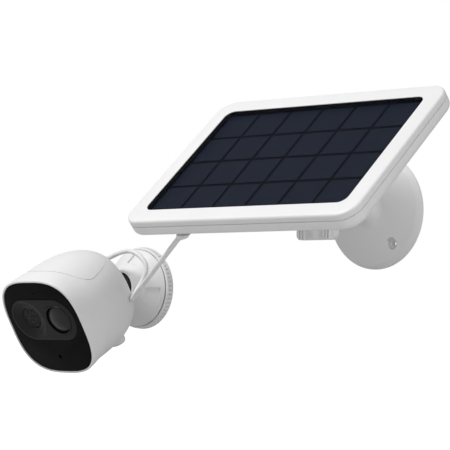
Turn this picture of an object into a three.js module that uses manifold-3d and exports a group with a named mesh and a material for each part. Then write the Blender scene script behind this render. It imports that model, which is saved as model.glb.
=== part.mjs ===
// A battery security camera on a ball mount, charged by a solar panel on a bracket of its own.
// Units are millimetres and +Z is up. The wall is the plane Y = 0 and everything stands out towards -Y.
// The origin is the centre of the camera mount's back face, on the wall.

import * as THREE from 'three';
import { mergeVertices } from 'three/addons/utils/BufferGeometryUtils.js';
import Module from 'manifold-3d';

const wasm = await Module();
wasm.setup();

// ---------- driving dimensions ----------

const GAP = 0.3;                      // clearance between pieces that touch or turn in each other

// camera mount on the wall
const PLATE_RADIUS = 30.2;            // wall plate of the camera mount
const PLATE_BAND = 6.2;               // height of the knurled band round the plate
const BALL_RADIUS = 12.5;             // ball that carries the camera
const BALL_OUT = 16;                  // ball centre in front of the wall
const SEAT_WALL = 1.0;                // friction cups round both balls
const COLLAR_BASE_RADIUS = 28.2;      // locking collar where it meets the plate
const COLLAR_MOUTH = 52.4;            // half angle of the collar's mouth, from the ball's centre
const COLLAR_LIP_WALL = 2.4;          // wall of the collar at its front lip
const COLLAR_WALL = 2.2;
const LEDGE_DEPTH = 1.5;              // four grip ledges in the collar's cone
const LEDGE_INNER = 18.2;
const LEDGE_OUTER = 26.2;
const LEDGE_SWEEP = 34;               // degrees over which a ledge fades out
const WALL_SCREW_SPREAD = 20.8;        // hidden wall screws, from the plate's centre
const WALL_SCREW_RADIUS = 1.9;

// camera body, in its own frame: x across, y rearwards from the front edge, z up
const CAMERA_TILT = 31;               // degrees below level
const STUD_TO_FRONT = 85.3;           // ball centre to the body's front edge
const AXIS_ABOVE_STUD = 17.4;         // body axis above the stud
const HALF_WIDTH = 37.5;
const HALF_HEIGHT = 38.0;
const FRONT_POWER = 3.0;              // superellipse power of the front outline
const REAR_POWER = 2.23;              // and of the sections behind the fullest one
const FULLEST_AT = 15.3;              // depth of the fullest section
const FULLER_BY = 0.03;               // how much larger it is than the front, as a share
const DOME_END = 71.7;                // where the rear dome would close
const DOME_POWER = 2.55;              // profile power of the sides and the bottom
const TOP_POWER = 3.72;               // profile power of the top
const DROOP = 7.35;                   // how far the dome's end sits below the axis
const REAR_FLAT = 70.0;               // depth of the flat that takes the stud
const HOUSING_WALL = 2.2;
const RIM = 1.7;                      // width of the white rim round the black face

// black face and its sensors
const FACE_RECESS = 0.5;
const FACE_THICKNESS = 2.2;
const SENSOR_SPACING = 14.75;         // lens and motion sensor, each side of the middle
const SENSOR_HEIGHT = 6.1;            // both above the body axis
const BEZEL_RADIUS = 16.4;            // half the height of the obround sensor bezel
const BEZEL_PROUD = 0.5;
const BEZEL_THICKNESS = 4.2;
const DISH_RADIUS = 15.0;             // lens dish at its mouth
const DISH_DEPTH = 2.6;
const WINDOW_RADIUS = 8.2;            // clear window at the bottom of the dish
const LENS_RADIUS = 5.4;
const PIR_RADIUS = 10.6;              // motion sensor's dome
const PIR_RING = 1.2;
const PIR_DOME_HEIGHT = 3.4;
const LIGHT_SENSOR_HEIGHT = 27.4;
const MIC_BELOW = 24.3;
const PORT_HOLE_RADIUS = 1.0;         // light sensor and microphone holes

// top cover
const COVER_FRONT = 12.5;             // depth of its front edge on the middle line
const COVER_CURVE = 0.0095;           // the front edge falls back by this times x squared
const COVER_SIDE = 22.3;
const COVER_CORNER = 9.0;             // round of its front lower corner              // height of its side edges
const COVER_REAR = 58.0;              // depth of its rear edge, at the height of the next value
const COVER_REAR_HEIGHT = 30.0;
const COVER_REAR_SLOPE = 0.5;

// tripod boss under the body
const BOSS_AT = 54.7;
const BOSS_RADIUS = 6.6;
const BOSS_END = 46.2;                // below the body axis
const INSERT_RADIUS = 4.2;            // brass inserts with a quarter-inch thread
const THREAD_RADIUS = 3.1;
const INSERT_DEPTH = 9.0;

// inside the camera
const CELL_RADIUS = 9.1;
const CELL_LENGTH = 61;
const CELL_AT = 26.4;
const BOARD_THICKNESS = 1.2;
const SENSOR_BOARD_AT = 15.6;
const MAIN_BOARD_AT = 40.5;
const SPEAKER_RADIUS = 11;

// solar panel and its bracket
const BRACKET_X = 216.7;
const BRACKET_Z = 50.7;
const BRACKET_RADIUS = 39.2;
const BRACKET_RIM = 4.4;              // height of the rim
const BRACKET_BEVEL = 3.4;
const CONE_RISE = 5.2;                // from the bevel to the arm's fillet
const ARM_RADIUS = 7.2;
const ARM_FILLET = 6.5;
const SCREW_RING = 28.0;              // stepped screw holes, from the plate's centre
const SCREW_ANGLES = [-52, 68, 188];  // degrees from +X
const SCREW_HOLE_RADIUS = 1.6;
const SCREW_HEAD_RADIUS = 4.1;
const SCREW_FLOOR = 3.2;              // the hole narrows this far above the wall
const PANEL_BALL_OUT = 70.8;          // panel ball in front of the wall
const PANEL_BALL_RADIUS = 9.0;
const HEAD_WALL = 2.0;                // wall of the clamp head
const HEAD_OPENING = 52;              // half angle of the head's mouth
const HEAD_AIM = 40;                  // degrees above level that the mouth faces
const PANEL_PITCH = 49.7;             // degrees above level that the panel faces
const BALL_TO_PANEL = 29.0;           // ball centre to the panel's back
const PANEL_LENGTH = 190;
const PANEL_HEIGHT = 133;
const PANEL_THICKNESS = 14.0;
const PANEL_CORNER = 13;
const GLASS_LENGTH = 165;
const GLASS_HEIGHT = 108;
const GLASS_CORNER = 6;
const GLASS_THICKNESS = 2.0;
const GLASS_SUNK = 0.4;
const FRAME_SPLIT = 5.0;              // seam below the front face
const SHELL_WALL = 2.4;
const SHELL_ROUND = 6.5;              // how far the back rim is rounded in
const FLANGE_RADIUS = 11;
const FLANGE_THICKNESS = 3.6;

// wing knob under the clamp head
const KNOB_BACK = 7.8;                // behind the ball centre
const KNOB_BELOW = 17.0;              // its middle, below the ball centre
const KNOB_LENGTH = 33;
const KNOB_THICKNESS = 8.2;
const KNOB_WIDTH = 9.4;
const KNOB_SCREW_RADIUS = 2.4;

// cable
const CABLE_DIAMETER = 3.4;

// The cable's route from the plug's boot to the panel's gland. The points are chosen by hand.
const CABLE_ROUTE = [
  [-8.0, -37.0, 18.2], [-8.0, -33.7, 20.2], [-6.2, -32.3, 21.3], [-1.5, -32.6, 22.6], [7.3, -33.6, 25.0],
  [17.2, -34.6, 26.3], [25.1, -35.2, 24.8], [31.2, -35.0, 21.1], [34.9, -34.8, 16.6], [35.8, -35.1, 12.0],
  [34.7, -35.9, 7.4], [33.2, -37.5, 2.7], [31.9, -39.8, -1.6], [31.7, -42.6, -5.1], [32.9, -45.6, -7.7],
  [35.3, -48.2, -8.6], [38.7, -50.3, -7.3], [44.9, -54.6, -4.8], [64.2, -67.6, 1.4], [90.4, -85.2, 9.8],
  [116.6, -102.8, 18.2], [142.8, -120.4, 26.6], [155.9, -129.2, 30.8], [162.6, -133.7, 32.9],
];

// ---------- small tools ----------

const RADIANS = Math.PI / 180;

// Merges shared corners, drops empty triangles and turns the faces outwards.
function tidy(geometry) {
  const bare = new THREE.BufferGeometry();
  bare.setAttribute('position', geometry.getAttribute('position').clone());
  if (geometry.index) bare.setIndex(geometry.index.clone());
  const merged = mergeVertices(bare, 1e-4);
  const at = merged.getAttribute('position');
  const corners = [];
  const a = new THREE.Vector3();
  const b = new THREE.Vector3();
  const c = new THREE.Vector3();
  let volume = 0;
  for (let i = 0; i < merged.index.count; i += 3) {
    const [p, q, r] = [0, 1, 2].map((k) => merged.index.getX(i + k));
    if (p === q || q === r || r === p) continue;
    a.fromBufferAttribute(at, p);
    b.fromBufferAttribute(at, q);
    c.fromBufferAttribute(at, r);
    volume += a.dot(b.cross(c));
    corners.push(p, q, r);
  }
  if (volume < 0) corners.reverse();
  merged.setIndex(corners);
  return merged;
}

function toSolid(geometry) {
  const clean = tidy(geometry);
  const mesh = new wasm.Mesh({
    numProp: 3,
    vertProperties: new Float32Array(clean.getAttribute('position').array),
    triVerts: new Uint32Array(clean.index.array),
  });
  return new wasm.Manifold(mesh);
}

function toGeometry(solid) {
  const mesh = solid.getMesh();
  const geometry = new THREE.BufferGeometry();
  geometry.setAttribute('position', new THREE.BufferAttribute(new Float32Array(mesh.vertProperties), 3));
  geometry.setIndex(new THREE.BufferAttribute(new Uint32Array(mesh.triVerts), 1));
  return geometry;
}

// The first geometry with all the others cut away.
function cut(body, ...tools) {
  return toGeometry(tools.reduce((left, tool) => left.subtract(toSolid(tool)), toSolid(body)));
}

function join(body, ...more) {
  return toGeometry(more.reduce((sum, piece) => sum.add(toSolid(piece)), toSolid(body)));
}

function common(body, tool) {
  return toGeometry(toSolid(body).intersect(toSolid(tool)));
}

// A solid of revolution about Y. Each profile point is [radius, y].
function turned(profile, segments = 32) {
  return new THREE.LatheGeometry(profile.map(([r, y]) => new THREE.Vector2(r, y)), segments);
}

// The same about a line through a point, with the profile's y running along the direction.
function turnedAlong(profile, point, direction, segments = 24) {
  const turn = new THREE.Quaternion().setFromUnitVectors(
    new THREE.Vector3(0, 1, 0),
    new THREE.Vector3(...direction).normalize(),
  );
  return turned(profile, segments).applyQuaternion(turn).translate(...point);
}

function pin(radius, from, to, direction, point, segments = 24) {
  return turnedAlong([[0, from], [radius, from], [radius, to], [0, to]], point, direction, segments);
}

// A flat shape drawn in x and z, filled from y0 to y1.
function plate(shape, y0, y1, curveSegments = 10) {
  return new THREE.ExtrudeGeometry(shape, { depth: y1 - y0, bevelEnabled: false, curveSegments })
    .rotateX(90 * RADIANS)
    .translate(0, y1, 0);
}

// A flat shape drawn in x and y, filled from z0 to z1.
function slab(shape, z0, z1, curveSegments = 8) {
  return new THREE.ExtrudeGeometry(shape, { depth: z1 - z0, bevelEnabled: false, curveSegments })
    .translate(0, 0, z0);
}

function box(x0, x1, y0, y1, z0, z1) {
  return new THREE.BoxGeometry(x1 - x0, y1 - y0, z1 - z0)
    .translate((x0 + x1) / 2, (y0 + y1) / 2, (z0 + z1) / 2);
}

function roundedRectangle(width, height, radius) {
  const [w, h] = [width / 2 - radius, height / 2 - radius];
  const shape = new THREE.Shape();
  shape.absarc(w, -h, radius, -90 * RADIANS, 0);
  shape.absarc(w, h, radius, 0, 90 * RADIANS);
  shape.absarc(-w, h, radius, 90 * RADIANS, 180 * RADIANS);
  shape.absarc(-w, -h, radius, 180 * RADIANS, 270 * RADIANS);
  shape.closePath();
  return shape;
}

// An obround: two round ends, each at the given distance from the middle.
function obround(spacing, radius, height = 0) {
  const shape = new THREE.Shape();
  shape.absarc(spacing, height, radius, -90 * RADIANS, 90 * RADIANS);
  shape.absarc(-spacing, height, radius, 90 * RADIANS, 270 * RADIANS);
  shape.closePath();
  return shape;
}

function superellipse(halfWidth, halfHeight, power, count = 32) {
  return Array.from({ length: count }, (_, i) => {
    const angle = (i / count) * 2 * Math.PI;
    const [c, s] = [Math.cos(angle), Math.sin(angle)];
    return [
      halfWidth * Math.sign(c) * Math.abs(c) ** (2 / power),
      halfHeight * Math.sign(s) * Math.abs(s) ** (2 / power),
    ];
  });
}

// A closed body through rings of points, each ring [x, y, z] with the same count, capped at both ends.
function skin(rings) {
  const count = rings[0].length;
  const points = rings.flat();
  const middle = (ring) => [0, 1, 2].map((k) => ring.reduce((sum, p) => sum + p[k], 0) / count);
  const first = points.push(middle(rings[0])) - 1;
  const last = points.push(middle(rings[rings.length - 1])) - 1;
  const corners = [];
  for (let i = 0; i < count; i += 1) {
    const next = (i + 1) % count;
    corners.push(first, next, i);
    corners.push(last, (rings.length - 1) * count + i, (rings.length - 1) * count + next);
    for (let r = 0; r < rings.length - 1; r += 1) {
      const [low, high] = [r * count, (r + 1) * count];
      corners.push(low + i, low + next, high + next, low + i, high + next, high + i);
    }
  }
  const geometry = new THREE.BufferGeometry();
  geometry.setAttribute('position', new THREE.Float32BufferAttribute(points.flat(), 3));
  geometry.setIndex(corners);
  return geometry;
}

function material(color, roughness, metalness = 0) {
  return () => new THREE.MeshStandardMaterial({ color, roughness, metalness });
}

const whitePlastic = material(0xe6e6e6, 0.55);
const panelWhite = material(0xf2f2f2, 0.5);
const blackPlastic = material(0x18181a, 0.45);
const blackGloss = material(0x232325, 0.15);
const darkDome = material(0x2a2a2d, 0.35);
const glass = material(0x20242c, 0.05);
const cellBlue = material(0x1e2333, 0.3);
const rubber = material(0x1c1c1c, 0.85);
const steel = material(0xa8abb0, 0.3, 1);
const brass = material(0xb99a55, 0.35, 1);
const boardGreen = material(0x23503a, 0.6);
const cellWrap = material(0x3a6ea8, 0.4);
const cableWhite = material(0xe9e9e9, 0.5);

const assembly = new THREE.Group();

function add(group, name, geometry, paint) {
  const mesh = new THREE.Mesh(tidy(geometry), paint());
  mesh.name = name;
  group.add(mesh);
}

// ---------- camera mount ----------

const SOCKET_RADIUS = BALL_RADIUS + GAP + SEAT_WALL + GAP;   // hollow for ball and friction cup
const BOSS_OUT = BALL_OUT - 1.5;                             // threaded boss behind the collar
const MOUNT_BOSS_RADIUS = SOCKET_RADIUS + 2.6;
const COLLAR_OUT = BALL_OUT + SOCKET_RADIUS * Math.cos(COLLAR_MOUTH * RADIANS);
const COLLAR_LIP_RADIUS = SOCKET_RADIUS * Math.sin(COLLAR_MOUTH * RADIANS) + COLLAR_LIP_WALL;
const COLLAR_BACK = PLATE_BAND + GAP;
const WALL_SCREW_HEAD = 2.2;
const BALL_CENTRE = [0, -BALL_OUT, 0];
const OUT = [0, -1, 0];                                      // out of the wall
const UP = [0, 0, 1];

// Points of a circle's arc in a profile, [radius, y], about a centre on the axis.
function profileArc(radius, centreY, from, to, steps) {
  return Array.from({ length: steps + 1 }, (_, i) => {
    const angle = (from + ((to - from) * i) / steps) * RADIANS;
    return [Math.max(0, radius * Math.sin(angle)), centreY + radius * Math.cos(angle)];
  });
}

function angleAt(radius, height) {
  return Math.acos(height / radius) / RADIANS;
}

function mountPlate() {
  const rim = angleAt(SOCKET_RADIUS, BALL_OUT - BOSS_OUT);
  const body = turned([
    [0, 0],
    [PLATE_RADIUS - 0.8, 0],
    [PLATE_RADIUS, -0.8],
    [PLATE_RADIUS, -1.6],
    [PLATE_RADIUS - 1.6, -PLATE_BAND],
    [MOUNT_BOSS_RADIUS, -PLATE_BAND],
    [MOUNT_BOSS_RADIUS, -BOSS_OUT],
    ...profileArc(SOCKET_RADIUS, -BALL_OUT, rim, 0, 8),
  ], 40);
  const holes = [1, -1].map((side) => pin(
    WALL_SCREW_RADIUS + GAP, -1, PLATE_BAND + 1, OUT, [0, 0, side * WALL_SCREW_SPREAD], 16));
  return cut(body, ...holes);
}

function wallScrew(side) {
  const head = WALL_SCREW_RADIUS * 1.75;
  return turnedAlong([
    [0, GAP],
    [WALL_SCREW_RADIUS, GAP],
    [WALL_SCREW_RADIUS, PLATE_BAND + GAP],
    [head, PLATE_BAND + GAP],
    [head, PLATE_BAND + WALL_SCREW_HEAD * 0.5],
    [head * 0.7, PLATE_BAND + WALL_SCREW_HEAD],
    [0, PLATE_BAND + WALL_SCREW_HEAD],
  ], [0, 0, side * WALL_SCREW_SPREAD], OUT, 16);
}

// How far a grip ledge sinks the cone, at an angle clockwise from the ledge as seen from the front.
function ledge(radius, angle) {
  const sweep = ((angle % 90) + 90) % 90;
  const across = (radius - LEDGE_INNER) / (LEDGE_OUTER - LEDGE_INNER);
  if (across <= 0 || across >= 1 || sweep > LEDGE_SWEEP) return 0;
  return LEDGE_DEPTH * (1 - sweep / LEDGE_SWEEP) * Math.min(1, 4 * across, 4 * (1 - across));
}

function lockingCollar() {
  const coneTop = COLLAR_OUT - 1.4;
  const outline = [[COLLAR_BASE_RADIUS, COLLAR_BACK], [COLLAR_BASE_RADIUS, COLLAR_BACK + 0.5]];
  for (const share of [0.08, 0.2, 0.4, 0.6, 0.8, 0.93, 1]) {
    outline.push([
      COLLAR_BASE_RADIUS + (COLLAR_LIP_RADIUS - COLLAR_BASE_RADIUS) * share,
      COLLAR_BACK + 0.5 + (coneTop - COLLAR_BACK - 0.5) * share,
    ]);
  }
  outline.push([COLLAR_LIP_RADIUS - 1.1, COLLAR_OUT]);
  // angles run clockwise seen from the front, with two close together at each ledge
  const angles = [0, 90, 180, 270].flatMap((start) => [0, 4, 12, 22, LEDGE_SWEEP, 48, 60, 72, 84, 89.2]
    .map((step) => start + step));
  const rings = outline.map(([radius, out]) => angles.map((angle) => {
    const turn = (90 - angle) * RADIANS;
    const sunk = ledge(radius, angle);
    const r = radius - sunk * 0.7;
    return [r * Math.cos(turn), -(out - sunk * 0.7), r * Math.sin(turn)];
  }));
  const inside = MOUNT_BOSS_RADIUS + GAP;
  const throat = angleAt(SOCKET_RADIUS, COLLAR_OUT + 1 - BALL_OUT);
  const hollow = turned([
    [0, -COLLAR_BACK + 1],
    [COLLAR_BASE_RADIUS - COLLAR_WALL, -COLLAR_BACK + 1],
    [COLLAR_BASE_RADIUS - COLLAR_WALL, -COLLAR_BACK - 0.6],
    [inside, -BOSS_OUT + 1.8],
    [inside, -BOSS_OUT - GAP],
    ...profileArc(SOCKET_RADIUS, -BALL_OUT, 90 + (90 - angleAt(SOCKET_RADIUS, GAP)), 180 - throat, 6)
      .map(([r, y]) => [r, Math.min(y, -BOSS_OUT - GAP)]),
    [0, -COLLAR_OUT - 1],
  ], 40);
  return cut(skin(rings), hollow);
}

// A friction cup round the wall side of a ball, between two angles from the direction it opens away from.
function frictionCup(ballRadius, centre, back, reach) {
  const [inner, outer] = [ballRadius + GAP, ballRadius + GAP + SEAT_WALL];
  return turnedAlong([
    ...profileArc(outer, 0, 0, reach, 6),
    ...profileArc(inner, 0, reach, 0, 6),
  ], centre, back, 22);
}

// A ball with a neck and a thread that leave it along Y, downwards in the profile.
function ballStud(ballRadius, neckRadius, neckEnd, threadRadius, threadEnd) {
  const neck = 180 - Math.asin(neckRadius / ballRadius) / RADIANS;
  return turned([
    ...profileArc(ballRadius, 0, 0, neck, 9),
    [neckRadius, -neckEnd],
    [threadRadius, -neckEnd],
    [threadRadius, -threadEnd],
    [0, -threadEnd],
  ], 24);
}

add(assembly, 'wall_plate', mountPlate(), whitePlastic);
add(assembly, 'wall_screw_upper', wallScrew(1), steel);
add(assembly, 'wall_screw_lower', wallScrew(-1), steel);
add(assembly, 'locking_collar', lockingCollar(), whitePlastic);
add(assembly, 'ball_friction_cup', frictionCup(BALL_RADIUS, BALL_CENTRE, [0, 1, 0], 84), blackPlastic);

// ---------- camera: turned down about the ball ----------

const camera = new THREE.Group();
camera.position.set(...BALL_CENTRE);
camera.rotation.x = CAMERA_TILT * RADIANS;
assembly.add(camera);

const REAR_GAP = STUD_TO_FRONT - REAR_FLAT;                  // ball centre to the body's rear flat
const NECK_RADIUS = 3.5;
const STUD_REACH = 6.0;                                      // thread inside the body

add(camera, 'ball_stud',
  ballStud(BALL_RADIUS, NECK_RADIUS, REAR_GAP - GAP, THREAD_RADIUS - 0.2, REAR_GAP + STUD_REACH), rubber);

const body = new THREE.Group();
body.position.set(0, -STUD_TO_FRONT, AXIS_ABOVE_STUD);
camera.add(body);

// The body's section at a depth: half sizes, power and the height of its middle.
function section(depth) {
  const share = depth / DOME_END;
  const middle = -DROOP * share * share;
  if (depth <= FULLEST_AT) {
    const size = 1 + (FULLER_BY * depth) / FULLEST_AT;
    const power = FRONT_POWER + ((REAR_POWER - FRONT_POWER) * depth) / FULLEST_AT;
    return { side: HALF_WIDTH * size, low: HALF_HEIGHT * size, high: HALF_HEIGHT * size, power, middle };
  }
  const along = (depth - FULLEST_AT) / (DOME_END - FULLEST_AT);
  const size = (1 + FULLER_BY) * (1 - along ** DOME_POWER) ** (1 / DOME_POWER);
  const top = (1 + FULLER_BY) * (1 - along ** TOP_POWER) ** (1 / TOP_POWER);
  return {
    side: HALF_WIDTH * size,
    low: HALF_HEIGHT * size,
    high: HALF_HEIGHT * top,
    power: REAR_POWER,
    middle,
  };
}

const SECTION_POINTS = 32;

function sectionRing(depth, shapeDepth, inset) {
  const { side, low, high, power, middle } = section(shapeDepth);
  return superellipse(1, 1, power, SECTION_POINTS).map(([x, z]) => [
    x * (side - inset),
    depth,
    middle + z * ((z > 0 ? high : low) - inset),
  ]);
}

function bodySolid() {
  const depths = [0.9, 5, 10, FULLEST_AT, 23, 31, 39, 46.5, 53, 58.5, 63, 66.4, 68.7, REAR_FLAT];
  return skin([sectionRing(0, 0, 0.9), ...depths.map((depth) => sectionRing(depth, depth, 0))]);
}

// The hollow stays one wall inside the body: each section is taken a wall further back.
function bodyHollow(inset) {
  const depths = [9, 16, 24, 32, 40, 47, 53, 58.5, 62.5, REAR_FLAT - inset];
  return skin(depths.map((depth) => sectionRing(depth, depth + inset * 0.75, inset)));
}

const faceOutline = (inset, power = FRONT_POWER) => new THREE.Shape(
  superellipse(HALF_WIDTH - RIM - inset, HALF_HEIGHT - RIM - inset, power)
    .map(([x, z]) => new THREE.Vector2(x, z)));

function coverCutter(gap) {
  const reach = HALF_WIDTH * 1.3;
  const steps = 14;
  const floor = COVER_SIDE + gap;
  const roof = HALF_HEIGHT * 1.3;
  const corner = COVER_CORNER - gap;
  const rearAt = (z) => COVER_REAR - gap + COVER_REAR_SLOPE * (z - COVER_REAR_HEIGHT);
  const rings = [];
  for (let i = 0; i <= steps; i += 1) {
    const x = -reach + (2 * reach * i) / steps;
    const front = COVER_FRONT + gap + COVER_CURVE * x * x;
    const ring = [[x, rearAt(roof), roof], [x, front, roof]];
    for (const angle of [0, 30, 60, 90]) {
      ring.push([
        x,
        front + corner * (1 - Math.cos(angle * RADIANS)),
        floor + corner * (1 - Math.sin(angle * RADIANS)),
      ]);
    }
    ring.push([x, rearAt(floor), floor]);
    rings.push(ring);
  }
  return skin(rings);
}

const BACKWARD = [0, 1, 0];
const STUD_POINT = [0, REAR_FLAT, -AXIS_ABOVE_STUD];
const PORT = [-8, REAR_FLAT, 9];
const PLUG_RADIUS = 3.1;

function bossTaper(extra) {
  return turnedAlong([
    [0, 0],
    [BOSS_RADIUS + 1.6 + extra, 0],
    [BOSS_RADIUS + 0.5 + extra, BOSS_END - 41],
    [BOSS_RADIUS + extra, BOSS_END - 32],
    [BOSS_RADIUS - 1.2 + extra, BOSS_END - 30],
    [0, BOSS_END - 30],
  ], [0, BOSS_AT, -30], [0, 0, -1], 28);
}

function housing() {
  const outside = join(bodySolid(), bossTaper(0));
  const hollow = bodyHollow(HOUSING_WALL);
  const mouth = plate(faceOutline(-GAP), -1, 9.05, 12);
  // solid lugs left inside for the two brass inserts
  const studLug = pin(INSERT_RADIUS + 2.4, -INSERT_DEPTH - 2.4, 0.5, BACKWARD, STUD_POINT, 20);
  const bossLug = pin(BOSS_RADIUS, 0, INSERT_DEPTH + 3, [0, 0, 1], [0, BOSS_AT, -BOSS_END + 0.5], 20);
  const inside = cut(hollow, studLug, bossLug);
  return cut(
    outside,
    inside,
    mouth,
    coverCutter(0),
    pin(INSERT_RADIUS + GAP, -INSERT_DEPTH, 2, BACKWARD, STUD_POINT, 20),
    pin(INSERT_RADIUS + GAP, -2, INSERT_DEPTH, [0, 0, 1], [0, BOSS_AT, -BOSS_END], 20),
    pin(PLUG_RADIUS + GAP, -6, 2, BACKWARD, PORT, 20),
  );
}

function topCover() {
  return common(cut(bodySolid(), bodyHollow(HOUSING_WALL)), coverCutter(GAP));
}

function threadedInsert(point, direction, depth) {
  return turnedAlong([
    [THREAD_RADIUS, 0],
    [INSERT_RADIUS, 0],
    [INSERT_RADIUS, depth],
    [THREAD_RADIUS, depth],
    [THREAD_RADIUS, 0],
  ], point, direction, 20);
}

add(body, 'housing', housing(), whitePlastic);
add(body, 'top_cover', topCover(), whitePlastic);
add(body, 'stud_insert', threadedInsert(STUD_POINT, [0, -1, 0], INSERT_DEPTH - GAP), brass);
add(body, 'tripod_insert', threadedInsert([0, BOSS_AT, -BOSS_END], UP, INSERT_DEPTH - GAP), brass);

// ---------- black face and sensors ----------

const FACE_BACK = FACE_RECESS + FACE_THICKNESS;
const BEZEL_FRONT = FACE_RECESS - BEZEL_PROUD;
const BEZEL_BACK = BEZEL_FRONT + BEZEL_THICKNESS;
const LENS_POINT = [-SENSOR_SPACING, 0, SENSOR_HEIGHT];
const PIR_POINT = [SENSOR_SPACING, 0, SENSOR_HEIGHT];

function frontHole(x, z, radius) {
  return pin(radius, -2, 8, BACKWARD, [x, 0, z], 16);
}

function facePlate() {
  return cut(
    plate(faceOutline(0), FACE_RECESS, FACE_BACK, 12),
    plate(obround(SENSOR_SPACING, BEZEL_RADIUS + GAP, SENSOR_HEIGHT), -2, 8, 14),
    frontHole(0, LIGHT_SENSOR_HEIGHT, PORT_HOLE_RADIUS),
    frontHole(0, -MIC_BELOW, PORT_HOLE_RADIUS),
  );
}

function sensorBezel() {
  const dish = turnedAlong([
    [0, BEZEL_FRONT - 1],
    [DISH_RADIUS, BEZEL_FRONT - 1],
    [DISH_RADIUS, BEZEL_FRONT],
    [WINDOW_RADIUS + 1, BEZEL_FRONT + DISH_DEPTH],
    [WINDOW_RADIUS + GAP, BEZEL_FRONT + DISH_DEPTH],
    [WINDOW_RADIUS + GAP, BEZEL_BACK + 1],
    [0, BEZEL_BACK + 1],
  ], LENS_POINT, BACKWARD, 28);
  const pirHole = pin(PIR_RADIUS + PIR_RING + GAP, -2, 8, BACKWARD, PIR_POINT, 28);
  const block = plate(obround(SENSOR_SPACING, BEZEL_RADIUS, SENSOR_HEIGHT), BEZEL_FRONT, BEZEL_BACK, 14);
  return cut(block, dish, pirHole);
}

function pirDome() {
  const sphere = (PIR_RADIUS ** 2 + PIR_DOME_HEIGHT ** 2) / (2 * PIR_DOME_HEIGHT);
  const base = BEZEL_FRONT + PIR_DOME_HEIGHT * 0.45;
  const arc = Math.asin((PIR_RADIUS - 0.1) / sphere) / RADIANS;
  const top = base - PIR_DOME_HEIGHT;
  return turnedAlong([
    ...profileArc(sphere, -(top + sphere), 0, arc, 6).map(([r, y]) => [r, -y]),
    [PIR_RADIUS - 0.1, BEZEL_BACK],
    [PIR_RADIUS - 1.3, BEZEL_BACK],
    ...profileArc(sphere - 0.9, -(top + sphere), arc * 0.86, 0, 5).map(([r, y]) => [r, -y]),
  ], PIR_POINT, BACKWARD, 22);
}

function lensBarrel() {
  const front = BEZEL_FRONT + DISH_DEPTH + 2.2;
  return turnedAlong([
    [LENS_RADIUS + GAP, front],
    [LENS_RADIUS + 1.6, front],
    [LENS_RADIUS + 1.6, front + 4],
    [LENS_RADIUS + 0.9, SENSOR_BOARD_AT - GAP],
    [LENS_RADIUS - 0.4, SENSOR_BOARD_AT - GAP],
    [LENS_RADIUS - 0.4, front + 3.4],
    [LENS_RADIUS + GAP, front + 3.4],
    [LENS_RADIUS + GAP, front],
  ], LENS_POINT, BACKWARD, 24);
}

function lensElement(radius, at, thickness, bulge) {
  return turnedAlong([
    [0, at - bulge],
    [radius * 0.55, at - bulge * 0.7],
    [radius, at],
    [radius, at + thickness],
    [0, at + thickness],
  ], LENS_POINT, BACKWARD, 24);
}

const WINDOW_AT = BEZEL_FRONT + DISH_DEPTH + 0.2;
const LENS_AT = BEZEL_FRONT + DISH_DEPTH + 3.4;

add(body, 'face_plate', facePlate(), blackPlastic);
add(body, 'sensor_bezel', sensorBezel(), blackGloss);
add(body, 'lens_window', pin(WINDOW_RADIUS, WINDOW_AT, WINDOW_AT + 1.1, BACKWARD, LENS_POINT, 28), glass);
add(body, 'lens_barrel', lensBarrel(), blackPlastic);
add(body, 'front_lens', lensElement(LENS_RADIUS, LENS_AT, 1.6, 1.0), glass);
add(body, 'rear_lens', lensElement(LENS_RADIUS - 0.4 - GAP, LENS_AT + 4.4, 1.4, 0.8), glass);
add(body, 'pir_ring', turnedAlong([
  [PIR_RADIUS + GAP, BEZEL_FRONT - 0.5],
  [PIR_RADIUS + PIR_RING, BEZEL_FRONT - 0.5],
  [PIR_RADIUS + PIR_RING, BEZEL_BACK],
  [PIR_RADIUS + GAP, BEZEL_BACK],
  [PIR_RADIUS + GAP, BEZEL_FRONT - 0.5],
], PIR_POINT, BACKWARD, 32), blackGloss);
add(body, 'pir_dome', pirDome(), darkDome);
add(body, 'pir_sensor', pin(4.1, BEZEL_BACK + 2, SENSOR_BOARD_AT - GAP, BACKWARD, PIR_POINT, 20), steel);
add(body, 'light_sensor', pin(
  1.6,
  FACE_BACK + GAP,
  FACE_BACK + 3,
  BACKWARD,
  [0, 0, LIGHT_SENSOR_HEIGHT],
  14,
), glass);
add(body, 'microphone', pin(3.0, FACE_BACK + GAP, FACE_BACK + 2.6, BACKWARD, [0, 0, -MIC_BELOW], 18), steel);

// ---------- inside the camera ----------

const CELL_MIDDLE = -1.0;
const CELL_PITCH = CELL_RADIUS + GAP;
const CELL_BACK = CELL_AT + CELL_RADIUS;
const TRAY_BACK = CELL_BACK + 1.8;
const DECK_TOP = COVER_SIDE - 1.0;
const BUTTON_AT = 34;

function boardShape(halfWidth, low, high, corner) {
  const shape = roundedRectangle(2 * halfWidth, high - low, corner);
  return new THREE.Shape(shape.getPoints(5).slice(0, -1)
    .map((p) => new THREE.Vector2(p.x, p.y + (high + low) / 2)));
}

function cellTray() {
  const frame = box(-29, 29, CELL_AT + 2.6, TRAY_BACK, CELL_MIDDLE - 17.6, CELL_MIDDLE + 17.6);
  const troughs = [1, -1].map((side) => pin(
    CELL_RADIUS + GAP, -40, 40, [1, 0, 0], [0, CELL_AT, CELL_MIDDLE + side * CELL_PITCH], 32));
  return cut(frame, ...troughs);
}

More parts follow.
